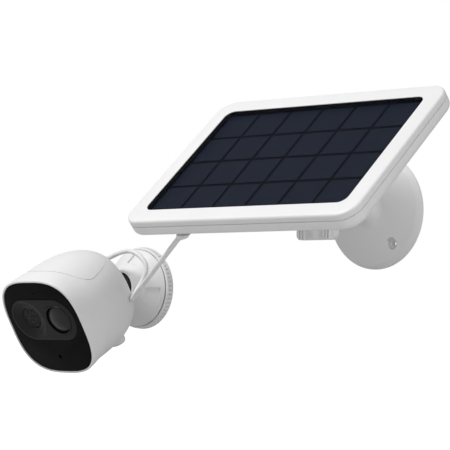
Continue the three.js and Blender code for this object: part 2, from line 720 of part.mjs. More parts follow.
// The deck under the cover closes the case and carries the button and the service socket.
function coverDeck() {
  const level = slab(new THREE.Shape([
    new THREE.Vector2(-60, 14),
    new THREE.Vector2(60, 14),
    new THREE.Vector2(60, 52),
    new THREE.Vector2(-60, 52),
  ]), DECK_TOP - 2, DECK_TOP);
  return cut(
    common(bodyHollow(HOUSING_WALL + GAP), level),
    pin(2.6 + GAP, 10, 30, [0, 0, 1], [10, BUTTON_AT, 0], 18),
    slab(boardShape(4.8 + GAP, BUTTON_AT - 2 - GAP, BUTTON_AT + 2 + GAP, 1.9), 10, 30).translate(-9, 0, 0),
  );
}

function serviceSocket() {
  const shell = slab(boardShape(4.8, BUTTON_AT - 2, BUTTON_AT + 2, 1.9), DECK_TOP - 2.4, DECK_TOP - 0.2);
  const mouth = slab(boardShape(4.0, BUTTON_AT - 1.2, BUTTON_AT + 1.2, 1.1), DECK_TOP - 1.8, DECK_TOP + 2);
  return cut(shell, mouth).translate(-9, 0, 0);
}

const sensorBoard = cut(
  plate(boardShape(30, -27, 17.5, 7), SENSOR_BOARD_AT, SENSOR_BOARD_AT + BOARD_THICKNESS, 6),
  frontHole(0, 0, 1.5).translate(0, 12, 0),
);

add(body, 'image_sensor', box(-3.2, 3.2, SENSOR_BOARD_AT - 2.6, SENSOR_BOARD_AT - GAP, -2.5, 2.5)
  .translate(-SENSOR_SPACING, 0, SENSOR_HEIGHT), glass);
add(body, 'sensor_board', sensorBoard, boardGreen);
for (const [name, side] of [['battery_cell_upper', 1], ['battery_cell_lower', -1]]) {
  add(body, name, pin(
    CELL_RADIUS,
    -CELL_LENGTH / 2,
    CELL_LENGTH / 2,
    [1, 0, 0],
    [0, CELL_AT, CELL_MIDDLE + side * CELL_PITCH],
    28,
  ), cellWrap);
}
add(body, 'battery_tray', cellTray(), blackPlastic);
add(body, 'main_board',
  plate(boardShape(25, -21, 16, 4), MAIN_BOARD_AT, MAIN_BOARD_AT + BOARD_THICKNESS, 6), boardGreen);
add(body, 'speaker', turnedAlong([
  [0, 0],
  [SPEAKER_RADIUS, 0],
  [SPEAKER_RADIUS, 1.5],
  [SPEAKER_RADIUS * 0.6, 4.5],
  [0, 4.5],
], [0, 32, -31], [0, 0, 1], 28), blackPlastic);
add(body, 'cover_deck', coverDeck(), whitePlastic);
add(body, 'service_socket', serviceSocket(), steel);
add(body, 'reset_button', turnedAlong([
  [0, DECK_TOP - 1.6],
  [2.6, DECK_TOP - 1.6],
  [2.6, DECK_TOP + 0.6],
  [2.0, DECK_TOP + 1.0],
  [0, DECK_TOP + 1.0],
], [10, BUTTON_AT, 0], [0, 0, 1], 18), rubber);
add(body, 'stud_lock_nut', turnedAlong([
  [NECK_RADIUS + GAP, GAP],
  [NECK_RADIUS + 1.4, GAP],
  [NECK_RADIUS + 1.4, 1.2],
  [NECK_RADIUS + GAP, 1.2],
  [NECK_RADIUS + GAP, GAP],
], STUD_POINT, BACKWARD, 20), steel);
add(body, 'cable_plug', turnedAlong([
  [0, -5.4],
  [PLUG_RADIUS - 1.2, -5.4],
  [PLUG_RADIUS - 1.2, -4.6],
  [PLUG_RADIUS, -4.6],
  [PLUG_RADIUS, 0.6],
  [0, 0.6],
], PORT, BACKWARD, 20), rubber);
add(body, 'plug_boot', turnedAlong([
  [CABLE_DIAMETER / 2 + GAP, 0.9],
  [PLUG_RADIUS + 0.4, 0.9],
  [PLUG_RADIUS + 0.4, 3.6],
  [CABLE_DIAMETER / 2 + 0.9, 9.4],
  [CABLE_DIAMETER / 2 + GAP, 9.4],
  [CABLE_DIAMETER / 2 + GAP, 0.9],
], PORT, BACKWARD, 20), cableWhite);

// ---------- panel bracket ----------

const bracket = new THREE.Group();
bracket.position.set(BRACKET_X, 0, BRACKET_Z);
assembly.add(bracket);

const HEAD_SOCKET = PANEL_BALL_RADIUS + GAP + SEAT_WALL + GAP;
const HEAD_RADIUS = HEAD_SOCKET + HEAD_WALL;
const PANEL_BALL = [0, -PANEL_BALL_OUT, 0];
const MOUTH = [0, -Math.cos(HEAD_AIM * RADIANS), Math.sin(HEAD_AIM * RADIANS)];
const KNOB_POINT = [0, -PANEL_BALL_OUT + KNOB_BACK, -KNOB_BELOW];

function bracketBase() {
  const coneEnd = BRACKET_RIM + CONE_RISE;
  const root = ARM_RADIUS + ARM_FILLET;
  const fillet = Array.from({ length: 6 }, (_, i) => {
    const angle = (90 * (i / 5)) * RADIANS;
    return [root - ARM_FILLET * Math.sin(angle), -(coneEnd + ARM_FILLET - ARM_FILLET * Math.cos(angle))];
  });
  const base = turned([
    [0, 0],
    [BRACKET_RADIUS, 0],
    [BRACKET_RADIUS, -BRACKET_RIM + 1.6],
    [BRACKET_RADIUS - BRACKET_BEVEL, -BRACKET_RIM],
    ...fillet,
    [ARM_RADIUS, -PANEL_BALL_OUT + HEAD_SOCKET + 0.5],
    [0, -PANEL_BALL_OUT + HEAD_SOCKET + 0.5],
  ], 40);
  const head = turnedAlong(profileArc(HEAD_RADIUS, 0, 0, 180, 12), PANEL_BALL, MOUTH, 24);
  const knobTop = -KNOB_BELOW + KNOB_THICKNESS / 2;
  const knobBoss = pin(KNOB_SCREW_RADIUS + 2.6, knobTop + 2 * GAP, -HEAD_SOCKET * 0.5,
    UP, [0, KNOB_POINT[1], 0], 20);
  const socket = turnedAlong(profileArc(HEAD_SOCKET, 0, 0, 180, 12), PANEL_BALL, MOUTH, 24);
  const spread = Math.tan(HEAD_OPENING * RADIANS);
  const reach = HEAD_RADIUS + 6;
  const mouth = turnedAlong([[0, 0], [reach * spread, reach], [0, reach]], PANEL_BALL, MOUTH, 24);
  const holes = SCREW_ANGLES.map((angle) => turnedAlong([
    [0, -1],
    [SCREW_HOLE_RADIUS, -1],
    [SCREW_HOLE_RADIUS, SCREW_FLOOR],
    [SCREW_HEAD_RADIUS, SCREW_FLOOR],
    [SCREW_HEAD_RADIUS, BRACKET_RIM + 9],
    [0, BRACKET_RIM + 9],
  ], [SCREW_RING * Math.cos(angle * RADIANS), 0, SCREW_RING * Math.sin(angle * RADIANS)], OUT, 18));
  const screwHole = pin(KNOB_SCREW_RADIUS + GAP, -KNOB_BELOW, -HEAD_SOCKET * 0.4,
    [0, 0, 1], [0, KNOB_POINT[1], 0], 18);
  return cut(join(base, head, knobBoss), socket, mouth, screwHole, ...holes);
}

// A slim wing knob, round at both ends, with upright grip ribs and a round hub.
function wingKnob() {
  const half = KNOB_THICKNESS / 2;
  const wing = slab(roundedRectangle(KNOB_LENGTH, KNOB_WIDTH * 0.72, 2.6), -half, half, 5);
  const hub = pin(KNOB_WIDTH / 2, -half, half, [0, 0, 1], [0, 0, 0], 24);
  const ribs = [];
  for (const side of [1, -1]) {
    for (const step of [0, 1, 2]) {
      ribs.push(slab(roundedRectangle(1.5, KNOB_WIDTH, 0.7), -half, half, 3)
        .translate(side * (KNOB_LENGTH / 2 - 3.6 - 2.4 * step), 0, 0));
    }
  }
  const ends = plate(roundedRectangle(KNOB_LENGTH, KNOB_THICKNESS, half - 0.1), -KNOB_WIDTH, KNOB_WIDTH, 6);
  const hole = pin(KNOB_SCREW_RADIUS + GAP, -half + 2.4, half + 1, [0, 0, 1], [0, 0, 0], 18);
  return cut(common(join(wing, hub, ...ribs), ends), hole).translate(...KNOB_POINT);
}

add(bracket, 'bracket_base', bracketBase(), whitePlastic);
add(bracket, 'panel_friction_cup',
  frictionCup(PANEL_BALL_RADIUS, PANEL_BALL, MOUTH.map((v) => -v), 180 - HEAD_OPENING - 9), blackPlastic);
add(bracket, 'wing_knob', wingKnob(), whitePlastic);
add(bracket, 'knob_screw', pin(
  KNOB_SCREW_RADIUS,
  -KNOB_BELOW - KNOB_THICKNESS / 2 + 2.4 + GAP,
  -PANEL_BALL_RADIUS - GAP,
  [0, 0, 1],
  [0, KNOB_POINT[1], 0],
  20,
), steel);

// ---------- solar panel: pitched about its ball ----------

const panel = new THREE.Group();
panel.position.set(BRACKET_X, -PANEL_BALL_OUT, BRACKET_Z);
panel.rotation.x = (90 - PANEL_PITCH) * RADIANS;
assembly.add(panel);

const PANEL_BACK = BALL_TO_PANEL;
const SHELL_FRONT = PANEL_BACK + PANEL_THICKNESS - FRAME_SPLIT;
const PANEL_FRONT = PANEL_BACK + PANEL_THICKNESS;
const GLASS_BACK = PANEL_FRONT - GLASS_SUNK - GLASS_THICKNESS;
const CELL_SHEET = 0.8;
const CELL_BACKING = GLASS_BACK - GAP - CELL_SHEET;
const PANEL_NECK_RADIUS = 3.5;
const PANEL_INSERT = 7.0;
const GLAND_AT = [-51.4, -60.3, PANEL_BACK];                 // where the cable meets the panel's back
const GLAND_AIM = [-0.80, 0.244, -0.548];

// The ball's stud carries a round rest pad and a thread that screws into the panel's back.
function panelStud() {
  const padBack = PANEL_BACK - GAP - FLANGE_THICKNESS;
  const start = angleAt(PANEL_BALL_RADIUS, Math.sqrt(PANEL_BALL_RADIUS ** 2 - PANEL_NECK_RADIUS ** 2));
  return turnedAlong([
    ...profileArc(PANEL_BALL_RADIUS, 0, 180, start, 8),
    [PANEL_NECK_RADIUS, padBack - 5],
    [PANEL_NECK_RADIUS + 1.2, padBack - 2],
    [PANEL_NECK_RADIUS + 3.6, padBack],
    [FLANGE_RADIUS, padBack + 0.8],
    [FLANGE_RADIUS, padBack + FLANGE_THICKNESS],
    [THREAD_RADIUS - 0.2, padBack + FLANGE_THICKNESS],
    [THREAD_RADIUS - 0.2, PANEL_BACK + STUD_REACH - 0.6],
    [0, PANEL_BACK + STUD_REACH - 0.6],
  ], [0, 0, 0], UP, 24);
}

// Rounded rectangles stacked along the panel's normal, each [inset from the panel's outline, height].
function tray(layers) {
  return skin(layers.map(([inset, height]) => roundedRectangle(
    PANEL_LENGTH - 2 * inset,
    PANEL_HEIGHT - 2 * inset,
    PANEL_CORNER - inset,
  ).getPoints(6).slice(0, -1).map((p) => [p.x, p.y, height])));
}

function backShell() {
  const outside = tray([
    [SHELL_ROUND, PANEL_BACK],
    [SHELL_ROUND * 0.55, PANEL_BACK + 0.9],
    [SHELL_ROUND * 0.2, PANEL_BACK + 2.6],
    [0, PANEL_BACK + SHELL_ROUND * 0.85],
    [0, SHELL_FRONT],
  ]);
  const hollow = tray([
    [SHELL_ROUND + SHELL_WALL, PANEL_BACK + SHELL_WALL],
    [SHELL_WALL + 0.6, PANEL_BACK + SHELL_WALL + 3],
    [SHELL_WALL + 0.6, SHELL_FRONT + 1],
  ]);
  const lug = pin(INSERT_RADIUS + 3, PANEL_BACK, SHELL_FRONT - 0.8, UP, [0, 0, 0], 24);
  const seat = pin(INSERT_RADIUS + GAP, PANEL_BACK - 1, PANEL_BACK + PANEL_INSERT, UP, [0, 0, 0], 24);
  return cut(outside, cut(hollow, lug), seat);
}

// A sheet with the glass's outline, grown all round by the given amount.
function sheet(grow, z0, z1) {
  return slab(roundedRectangle(
    GLASS_LENGTH + 2 * grow,
    GLASS_HEIGHT + 2 * grow,
    Math.max(3, GLASS_CORNER + grow),
  ), z0, z1, 5);
}

function frontFrame() {
  return cut(
    slab(roundedRectangle(PANEL_LENGTH, PANEL_HEIGHT, PANEL_CORNER), SHELL_FRONT + GAP, PANEL_FRONT, 8),
    sheet(-4, SHELL_FRONT - 1, PANEL_FRONT + 1),
    sheet(GAP, CELL_BACKING - GAP, PANEL_FRONT + 1),
  );
}

// A moulded strain relief that leaves the back at a slant, bored for the cable.
function cableGland() {
  const sleeve = turnedAlong([
    [0, -12],
    [4.4, -12],
    [4.4, 3],
    [2.7, 10],
    [0, 10],
  ], GLAND_AT, GLAND_AIM, 20);
  const bore = pin(CABLE_DIAMETER / 2 + GAP, -20, 20, GLAND_AIM, GLAND_AT, 20);
  const below = box(-95, 0, -66, -40, PANEL_BACK - 30, PANEL_BACK - GAP);
  return cut(common(sleeve, below), bore);
}

add(panel, 'panel_ball_stud', panelStud(), steel);
add(panel, 'back_shell', backShell(), panelWhite);
add(panel, 'front_frame', frontFrame(), panelWhite);
add(panel, 'solar_cells', sheet(0, CELL_BACKING, CELL_BACKING + CELL_SHEET), cellBlue);
add(panel, 'panel_glass', sheet(0, GLASS_BACK, GLASS_BACK + GLASS_THICKNESS), glass);
add(panel, 'charge_board', box(
  -70,
  -38,
  -56,
  -36,
  PANEL_BACK + SHELL_WALL + 1,
  PANEL_BACK + SHELL_WALL + 2.2,
), boardGreen);
add(panel, 'cable_gland', cableGland(), cableWhite);
add(panel, 'panel_insert', threadedInsert([0, 0, PANEL_BACK], UP, PANEL_INSERT - GAP), brass);

// ---------- cable ----------

function cable() {
  const points = CABLE_ROUTE.map((p) => new THREE.Vector3(...p));
  const route = new THREE.CatmullRomCurve3(points, false, 'centripetal');
  const outline = new THREE.Shape();
  outline.absarc(0, 0, CABLE_DIAMETER / 2, 0, 2 * Math.PI);
  return new THREE.ExtrudeGeometry(outline, {
    steps: 72,
    curveSegments: 5,
    extrudePath: route,
    bevelEnabled: false,
  });
}

add(assembly, 'cable', cable(), cableWhite);

export default assembly;
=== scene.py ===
import math

import bmesh
import bpy
from mathutils import Matrix, Vector


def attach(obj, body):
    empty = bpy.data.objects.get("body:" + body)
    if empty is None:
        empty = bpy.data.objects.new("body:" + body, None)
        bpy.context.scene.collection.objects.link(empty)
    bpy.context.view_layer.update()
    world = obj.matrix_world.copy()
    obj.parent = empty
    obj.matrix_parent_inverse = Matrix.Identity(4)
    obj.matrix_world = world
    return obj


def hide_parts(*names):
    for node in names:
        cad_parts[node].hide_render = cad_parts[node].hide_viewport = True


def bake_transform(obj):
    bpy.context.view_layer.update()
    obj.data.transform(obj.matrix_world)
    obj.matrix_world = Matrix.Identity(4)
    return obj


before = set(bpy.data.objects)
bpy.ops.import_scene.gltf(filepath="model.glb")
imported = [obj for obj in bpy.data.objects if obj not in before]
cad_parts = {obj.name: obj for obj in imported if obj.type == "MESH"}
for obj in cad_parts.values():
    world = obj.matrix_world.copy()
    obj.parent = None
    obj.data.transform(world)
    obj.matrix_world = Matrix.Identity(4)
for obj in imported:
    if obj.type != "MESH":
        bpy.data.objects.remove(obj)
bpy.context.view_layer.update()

# Shapes and the cable's route are written in millimetres; make() scales shapes to metres.
# The view's camera, the floor and the lamps are in metres.
MM = 0.001
GAP = 0.3

# ---------- camera mount ----------
PLATE_RADIUS = 30.2
PLATE_BAND = 6.2
PLATE_BEVEL = 1.5
KNURL_TICKS = 60
KNURL_NEAR = 2.0
KNURL_FAR = 4.8
KNURL_DEPTH = 1.1
WALL_SCREW_HOLE = 2.2
WALL_SCREW_SPREAD = 20.8
BALL_RADIUS = 12.5
BALL_OUT = 16.0
SEAT_WALL = 1.0
COLLAR_BASE_RADIUS = 28.2
COLLAR_OUT = 24.6
COLLAR_LIP_RADIUS = 13.6
COLLAR_LIP_ROUND = 1.4
COLLAR_WALL = 2.2
LEDGE_START = 6.9
LEDGE_DEPTH = 1.5
LEDGE_INNER = 18.2
LEDGE_OUTER = 26.2
LEDGE_SWEEP = 34.0
LEDGE_ENDS = 9.0
LEDGE_SLANT = 0.7
NECK_RADIUS = 3.5
STUD_REACH = 6.0
THREAD_RADIUS = 3.1

# ---------- camera body ----------
CAMERA_TILT = 31.0
STUD_TO_FRONT = 85.3
AXIS_ABOVE_STUD = 17.4
HALF_WIDTH = 37.5
HALF_HEIGHT = 38.0
FRONT_POWER = 3.0
REAR_POWER = 2.23
FULLEST_AT = 15.33
FULLER_BY = 0.03
DOME_END = 71.7
DOME_POWER = 2.55
TOP_POWER = 3.72
DROOP = 7.35
REAR_FLAT = 70.0
HOUSING_WALL = 2.2
RIM = 1.7
COVER_FRONT = 12.5
COVER_CURVE = 0.0095
COVER_SIDE = 22.3
COVER_CORNER = 9.0
COVER_REAR = 58.0
COVER_REAR_HEIGHT = 30.0
COVER_REAR_SLOPE = 0.5
BOSS_AT = 54.7
BOSS_RADIUS = 6.6
BOSS_START = 30.0
BOSS_END = 46.2
INSERT_RADIUS = 4.2
INSERT_DEPTH = 9.0
PORT = (-8.0, REAR_FLAT, 9.0)
PLUG_RADIUS = 3.1

# ---------- face ----------
FACE_RECESS = 0.5
FACE_THICKNESS = 2.2
FACE_POCKET = 9.2
SENSOR_SPACING = 14.75
SENSOR_HEIGHT = 6.1
BEZEL_RADIUS = 16.4
BEZEL_THICKNESS = 4.2
DISH_RADIUS = 15.0
DISH_DEPTH = 2.6
WINDOW_RADIUS = 8.2
WINDOW_THICKNESS = 1.1
LENS_RADIUS = 5.4
LENS_SPHERE = 15.1
LENS_BULGE = 1.0
LENS_SPREAD = 20.9
BARREL_BACK = 15.3
PIR_RADIUS = 10.6
PIR_RING = 1.2
PIR_DOME_HEIGHT = 3.4
PIR_DOME_SUNK = 0.45
PIR_DOME_WALL = 0.9
LIGHT_SENSOR_HEIGHT = 27.4
LIGHT_HOLE_RADIUS = 0.7
MIC_BELOW = 24.3
MIC_HOLE_RADIUS = 1.5

# ---------- bracket and panel ----------
BRACKET = (216.7, 0.0, 50.7)
BRACKET_RADIUS = 39.2
BRACKET_RIM = 4.4
BRACKET_BEVEL = 3.4
CONE_RISE = 5.2
ARM_RADIUS = 7.2
ARM_FILLET = 6.5
SCREW_RING = 28.0
SCREW_ANGLES = (-52, 68, 188)
SCREW_HOLE_RADIUS = 1.6
SCREW_HEAD_RADIUS = 4.1
SCREW_FLOOR = 3.2
PANEL_BALL_OUT = 70.8
PANEL_BALL_RADIUS = 9.0
HEAD_WALL = 2.0
HEAD_OPENING = 52.0
HEAD_AIM = 40.0
PANEL_PITCH = 49.7
PANEL_BACK = 29.0
PANEL_LENGTH = 190.0
PANEL_HEIGHT = 133.0
PANEL_THICKNESS = 14.0
PANEL_CORNER = 13.0
GLASS_LENGTH = 165.0
GLASS_HEIGHT = 108.0
GLASS_CORNER = 6.0
GLASS_THICKNESS = 2.0
GLASS_SUNK = 0.4
CELL_SHEET = 0.8
CELL_COLUMNS = 6
CELL_ROWS = 4
FRAME_SPLIT = 5.0
SHELL_WALL = 2.4
SHELL_ROUND = 6.5
PANEL_NECK_RADIUS = 3.5
PAD_RADIUS = 11.0
PAD_THICKNESS = 3.6
KNOB_BACK = 7.8
KNOB_BELOW = 17.0
KNOB_LENGTH = 33.0
KNOB_THICKNESS = 8.2
KNOB_WIDTH = 9.4
KNOB_RIBS = 3
RIB_FIRST = 3.6
RIB_SPACE = 2.4
RIB_HALF_WIDTH = 0.75
RIB_HEIGHT = 1.3
KNOB_SCREW_RADIUS = 2.4

# ---------- cable ----------
GLAND_AT = (-51.4, -60.3, PANEL_BACK)
GLAND_AIM = (-0.80, 0.244, -0.548)
CABLE_DIAMETER = 3.4
CABLE_ROUTE = [
    (-8.0, -37.0, 18.2), (-8.0, -33.7, 20.2), (-6.2, -32.3, 21.3), (-1.5, -32.6, 22.6), (7.3, -33.6, 25.0),
    (17.2, -34.6, 26.3), (25.1, -35.2, 24.8), (31.2, -35.0, 21.1), (34.9, -34.8, 16.6), (35.8, -35.1, 12.0),
    (34.7, -35.9, 7.4), (33.2, -37.5, 2.7), (31.9, -39.8, -1.6), (31.7, -42.6, -5.1), (32.9, -45.6, -7.7),
    (35.3, -48.2, -8.6), (38.7, -50.3, -7.3), (44.9, -54.6, -4.8), (64.2, -67.6, 1.4), (90.4, -85.2, 9.8),
    (116.6, -102.8, 18.2), (142.8, -120.4, 26.6), (155.9, -129.2, 30.8), (162.6, -133.7, 32.9),
]

# ---------- places ----------
ROOM = Matrix.Identity(4)
BALL = Matrix.Translation((0, -BALL_OUT, 0))
TILTED = BALL @ Matrix.Rotation(math.radians(CAMERA_TILT), 4, "X")
BODY = TILTED @ Matrix.Translation((0, -STUD_TO_FRONT, AXIS_ABOVE_STUD))
BRACKET_PLACE = Matrix.Translation(BRACKET)
PANEL_BALL = BRACKET_PLACE @ Matrix.Translation((0, -PANEL_BALL_OUT, 0))
PANEL = PANEL_BALL @ Matrix.Rotation(math.radians(90 - PANEL_PITCH), 4, "X")

OUT = Vector((0, -1, 0))
BACK = Vector((0, 1, 0))
UP = Vector((0, 0, 1))


# ---------- view ----------
VIEW_SENSOR = 36.0
VIEW_LENS = 165.84
VIEW_FROM = (1.066, -1.109, -0.0168)
VIEW_RIGHT = (0.74752, 0.66422, 0.00442)
VIEW_AHEAD = (-0.66379, 0.74677, 0.04149)


def point_camera():
    """The photograph's camera: a long lens, a little below the object's level."""
    data = bpy.data.cameras.new("view_camera")
    data.sensor_width = VIEW_SENSOR
    data.lens = VIEW_LENS
    data.clip_start = 0.05
    data.clip_end = 60.0
    eye = bpy.data.objects.new("view_camera", data)
    right = Vector(VIEW_RIGHT).normalized()
    ahead = Vector(VIEW_AHEAD).normalized()
    above = right.cross(ahead).normalized()
    turn = Matrix((right, above, -ahead)).transposed().to_4x4()
    eye.matrix_world = Matrix.Translation(VIEW_FROM) @ turn
    bpy.context.scene.collection.objects.link(eye)
    bpy.context.scene.camera = eye


point_camera()


# ---------- mesh tools ----------
def make(name, points, faces, place=ROOM, smooth=35.0):
    """An object from points in millimetres, moved to its place."""
    mesh = bpy.data.meshes.new(name)
    scale = Matrix.Scale(MM, 4)
    mesh.from_pydata([tuple(scale @ (place @ Vector(p))) for p in points], [], faces)
    mesh.validate()
    obj = bpy.data.objects.new(name, mesh)
    bpy.context.scene.collection.objects.link(obj)
    outward(obj)
    shade(obj, smooth)
    return obj


def outward(obj):
    """Merges doubled points and turns every face to the outside."""
    work = bmesh.new()
    work.from_mesh(obj.data)
    bmesh.ops.remove_doubles(work, verts=work.verts, dist=1e-7)
    bmesh.ops.dissolve_degenerate(work, edges=work.edges, dist=1e-7)
    bmesh.ops.recalc_face_normals(work, faces=work.faces)
    if work.calc_volume(signed=True) < 0:
        bmesh.ops.reverse_faces(work, faces=work.faces)
    work.to_mesh(obj.data)
    work.free()


def shade(obj, angle):
    obj.data.shade_smooth()
    obj.data.set_sharp_from_angle(angle=math.radians(angle))


def applied(obj):
    """Turns the object's modifiers into its mesh."""
    graph = bpy.context.evaluated_depsgraph_get()
    graph.update()
    mesh = bpy.data.meshes.new_from_object(obj.evaluated_get(graph))
    old = obj.data
    obj.modifiers.clear()
    obj.data = mesh
    bpy.data.meshes.remove(old)
    return obj


def boolean(obj, others, kind="DIFFERENCE"):
    """Cuts the other solids from the object, or joins or crosses them with it, and uses them up."""
    for other in others:
        step = obj.modifiers.new("cut", "BOOLEAN")
        step.operation = kind
        step.solver = "EXACT"
        step.object = other
        applied(obj)
    for other in others:
        bpy.data.objects.remove(other)
    outward(obj)
    shade(obj, 35)
    return obj


def frame_for(direction, point=(0, 0, 0)):
    """A place whose Y runs along a direction."""
    turn = Vector((0, 1, 0)).rotation_difference(Vector(direction)).to_matrix().to_4x4()
    return Matrix.Translation(point) @ turn


def lathe(name, profile, place=ROOM, direction=BACK, point=(0, 0, 0), segments=96, smooth=35.0, closed=False):
    """A turned solid from points (radius, distance along the direction). A closed one is a ring."""
    points, faces = [], []
    rows = []
    for radius, along in profile:
        if radius < 1e-6:
            rows.append([len(points)])
            points.append((0, along, 0))
            continue
        rows.append(list(range(len(points), len(points) + segments)))
        for i in range(segments):
            angle = 2 * math.pi * i / segments
            points.append((radius * math.cos(angle), along, radius * math.sin(angle)))
    pairs = list(zip(rows, rows[1:]))
    if closed:
        pairs.append((rows[-1], rows[0]))
    for low, high in pairs:
        for i in range(segments):
            j = (i + 1) % segments
            if len(low) == 1 and len(high) == 1:
                continue
            if len(low) == 1:
                faces.append((low[0], high[i], high[j]))
            elif len(high) == 1:
                faces.append((low[i], high[0], low[j]))
            else:
                faces.append((low[i], high[i], high[j], low[j]))
    return make(name, points, faces, place @ frame_for(direction, point), smooth)


def rod(name, radius, start, end, direction, point, place, segments=48):
    profile = [(0, start), (radius, start), (radius, end), (0, end)]
    return lathe(name, profile, place, direction, point, segments)


def skin(name, rings, place=ROOM, smooth=35.0):
    """A closed solid through rings of points, capped at both ends."""
    count = len(rings[0])
    points = [p for ring in rings for p in ring]
    faces = []
    for r in range(len(rings) - 1):
        for i in range(count):
            j = (i + 1) % count
            faces.append((r * count + i, r * count + j, (r + 1) * count + j, (r + 1) * count + i))
    faces.append(tuple(range(count)))
    faces.append(tuple(range((len(rings) - 1) * count, len(rings) * count)))
    return make(name, points, faces, place, smooth)


def plate(name, outline, y0, y1, place=ROOM, smooth=35.0):
    """A flat shape given in x and z, filled from y0 to y1."""
    return skin(name, [[(x, y, z) for x, z in outline] for y in (y0, y1)], place, smooth)


def slab(name, outline, z0, z1, place=ROOM, smooth=35.0):
    """A flat shape given in x and y, filled from z0 to z1."""
    return skin(name, [[(x, y, z) for x, y in outline] for z in (z0, z1)], place, smooth)


def rounded(width, height, radius, steps=10, at=(0, 0)):
    """A rectangle's outline with round corners."""
    w, h = width / 2 - radius, height / 2 - radius
    points = []
    for quarter, (cx, cy) in enumerate([(w, -h), (w, h), (-w, h), (-w, -h)]):
        for i in range(steps + 1):
            angle = math.radians(90 * (quarter - 1) + 90 * i / steps)
            points.append((at[0] + cx + radius * math.cos(angle), at[1] + cy + radius * math.sin(angle)))
    return points


def obround(spacing, radius, height=0.0, steps=32):
    """The outline round two equal circles, one each side of the middle."""
    points = []
    for side in (1, -1):
        for i in range(steps + 1):
            angle = math.radians(-90 * side + 180 * i / steps)
            points.append((side * spacing + radius * math.cos(angle), height + radius * math.sin(angle)))
    return points


def superellipse(half_width, half_height, power, count=160):
    points = []
    for i in range(count):
        angle = 2 * math.pi * i / count
        c, s = math.cos(angle), math.sin(angle)
        x = half_width * math.copysign(abs(c) ** (2 / power), c)
        z = half_height * math.copysign(abs(s) ** (2 / power), s)
        points.append((x, z))
    return points


def arc(radius, centre, start, end, steps):
    """Points (radius, along) of a circle about the axis, angles from the direction's own end."""
    points = []
    for i in range(steps + 1):
        angle = math.radians(start + (end - start) * i / steps)
        points.append((max(0.0, radius * math.sin(angle)), centre + radius * math.cos(angle)))
    return points


def angle_at(radius, height):
    """The angle from a sphere's pole, in degrees, where it is this high above its centre."""
    return math.degrees(math.acos(height / radius))


# ---------- materials ----------
def new_material(name):
    mat = bpy.data.materials.new(name)
    mat.use_nodes = True
    tree = mat.node_tree
    return mat, tree, tree.nodes["Principled BSDF"], tree.nodes.new("ShaderNodeTexCoord").outputs["Object"]


def texture(tree, place, kind, **inputs):
    node = tree.nodes.new(kind)
    for key, value in inputs.items():
        node.inputs[key].default_value = value
    tree.links.new(place, node.inputs["Vector"])
    return node


def ranged(tree, value, low, high, floor=0.0, roof=1.0):
    """A texture's value, stretched so that floor to roof becomes low to high."""
    node = tree.nodes.new("ShaderNodeMapRange")
    for key, number in (("From Min", floor), ("From Max", roof), ("To Min", low), ("To Max", high)):
        node.inputs[key].default_value = number
    tree.links.new(value, node.inputs["Value"])
    return node.outputs["Result"]


def bump(tree, shader, value, depth):
    node = tree.nodes.new("ShaderNodeBump")
    node.inputs["Strength"].default_value = 1.0
    node.inputs["Distance"].default_value = depth * MM
    tree.links.new(value, node.inputs["Height"])
    tree.links.new(node.outputs["Normal"], shader.inputs["Normal"])


def plastic(name, color, roughness, grain, grain_size, mottle=0.04, specular=0.5):
    """A moulded surface: fine grain in the bump and roughness, faint cloudy variation in colour."""
    mat, tree, shader, place = new_material(name)
    shader.inputs["Specular IOR Level"].default_value = specular
    cloud = texture(tree, place, "ShaderNodeTexNoise", Scale=28.0, Detail=3.0)
    fine = texture(tree, place, "ShaderNodeTexNoise", Scale=1000.0 / grain_size * 0.35, Detail=2.0)
    paint = tree.nodes.new("ShaderNodeMix")
    paint.data_type = "RGBA"
    paint.blend_type = "MULTIPLY"
    paint.inputs["Factor"].default_value = 1.0
    paint.inputs["A"].default_value = (*color, 1.0)
    tree.links.new(ranged(tree, cloud.outputs["Fac"], 1.0 - mottle, 1.0, 0.3, 0.7), paint.inputs["B"])
    tree.links.new(paint.outputs["Result"], shader.inputs["Base Color"])
    rough = ranged(tree, fine.outputs["Fac"], max(0.02, roughness - 0.05), roughness + 0.05)
    tree.links.new(rough, shader.inputs["Roughness"])
    bump(tree, shader, fine.outputs["Fac"], grain)
    return mat


def brushed(name, color, roughness, scale=(900, 40, 900)):
    """Metal with fine lines from machining."""
    mat, tree, shader, place = new_material(name)
    shader.inputs["Base Color"].default_value = (*color, 1.0)
    shader.inputs["Metallic"].default_value = 1.0
    stretch = tree.nodes.new("ShaderNodeMapping")
    stretch.inputs["Scale"].default_value = scale
    tree.links.new(place, stretch.inputs["Vector"])
    lines = texture(tree, stretch.outputs["Vector"], "ShaderNodeTexNoise", Scale=1.0, Detail=3.0)
    rough = ranged(tree, lines.outputs["Fac"], roughness - 0.08, roughness + 0.12)
    tree.links.new(rough, shader.inputs["Roughness"])
    bump(tree, shader, lines.outputs["Fac"], 0.02)
    return mat


def clear(name, color, roughness, alpha, specular):
    """Glass with a faint uneven film on it."""
    mat, tree, shader, place = new_material(name)
    shader.inputs["Base Color"].default_value = (*color, 1.0)
    shader.inputs["Alpha"].default_value = alpha
    shader.inputs["Specular IOR Level"].default_value = specular
    film = texture(tree, place, "ShaderNodeTexNoise", Scale=60.0, Detail=4.0)
    rough = ranged(tree, film.outputs["Fac"], roughness, roughness + 0.06)
    tree.links.new(rough, shader.inputs["Roughness"])
    return mat


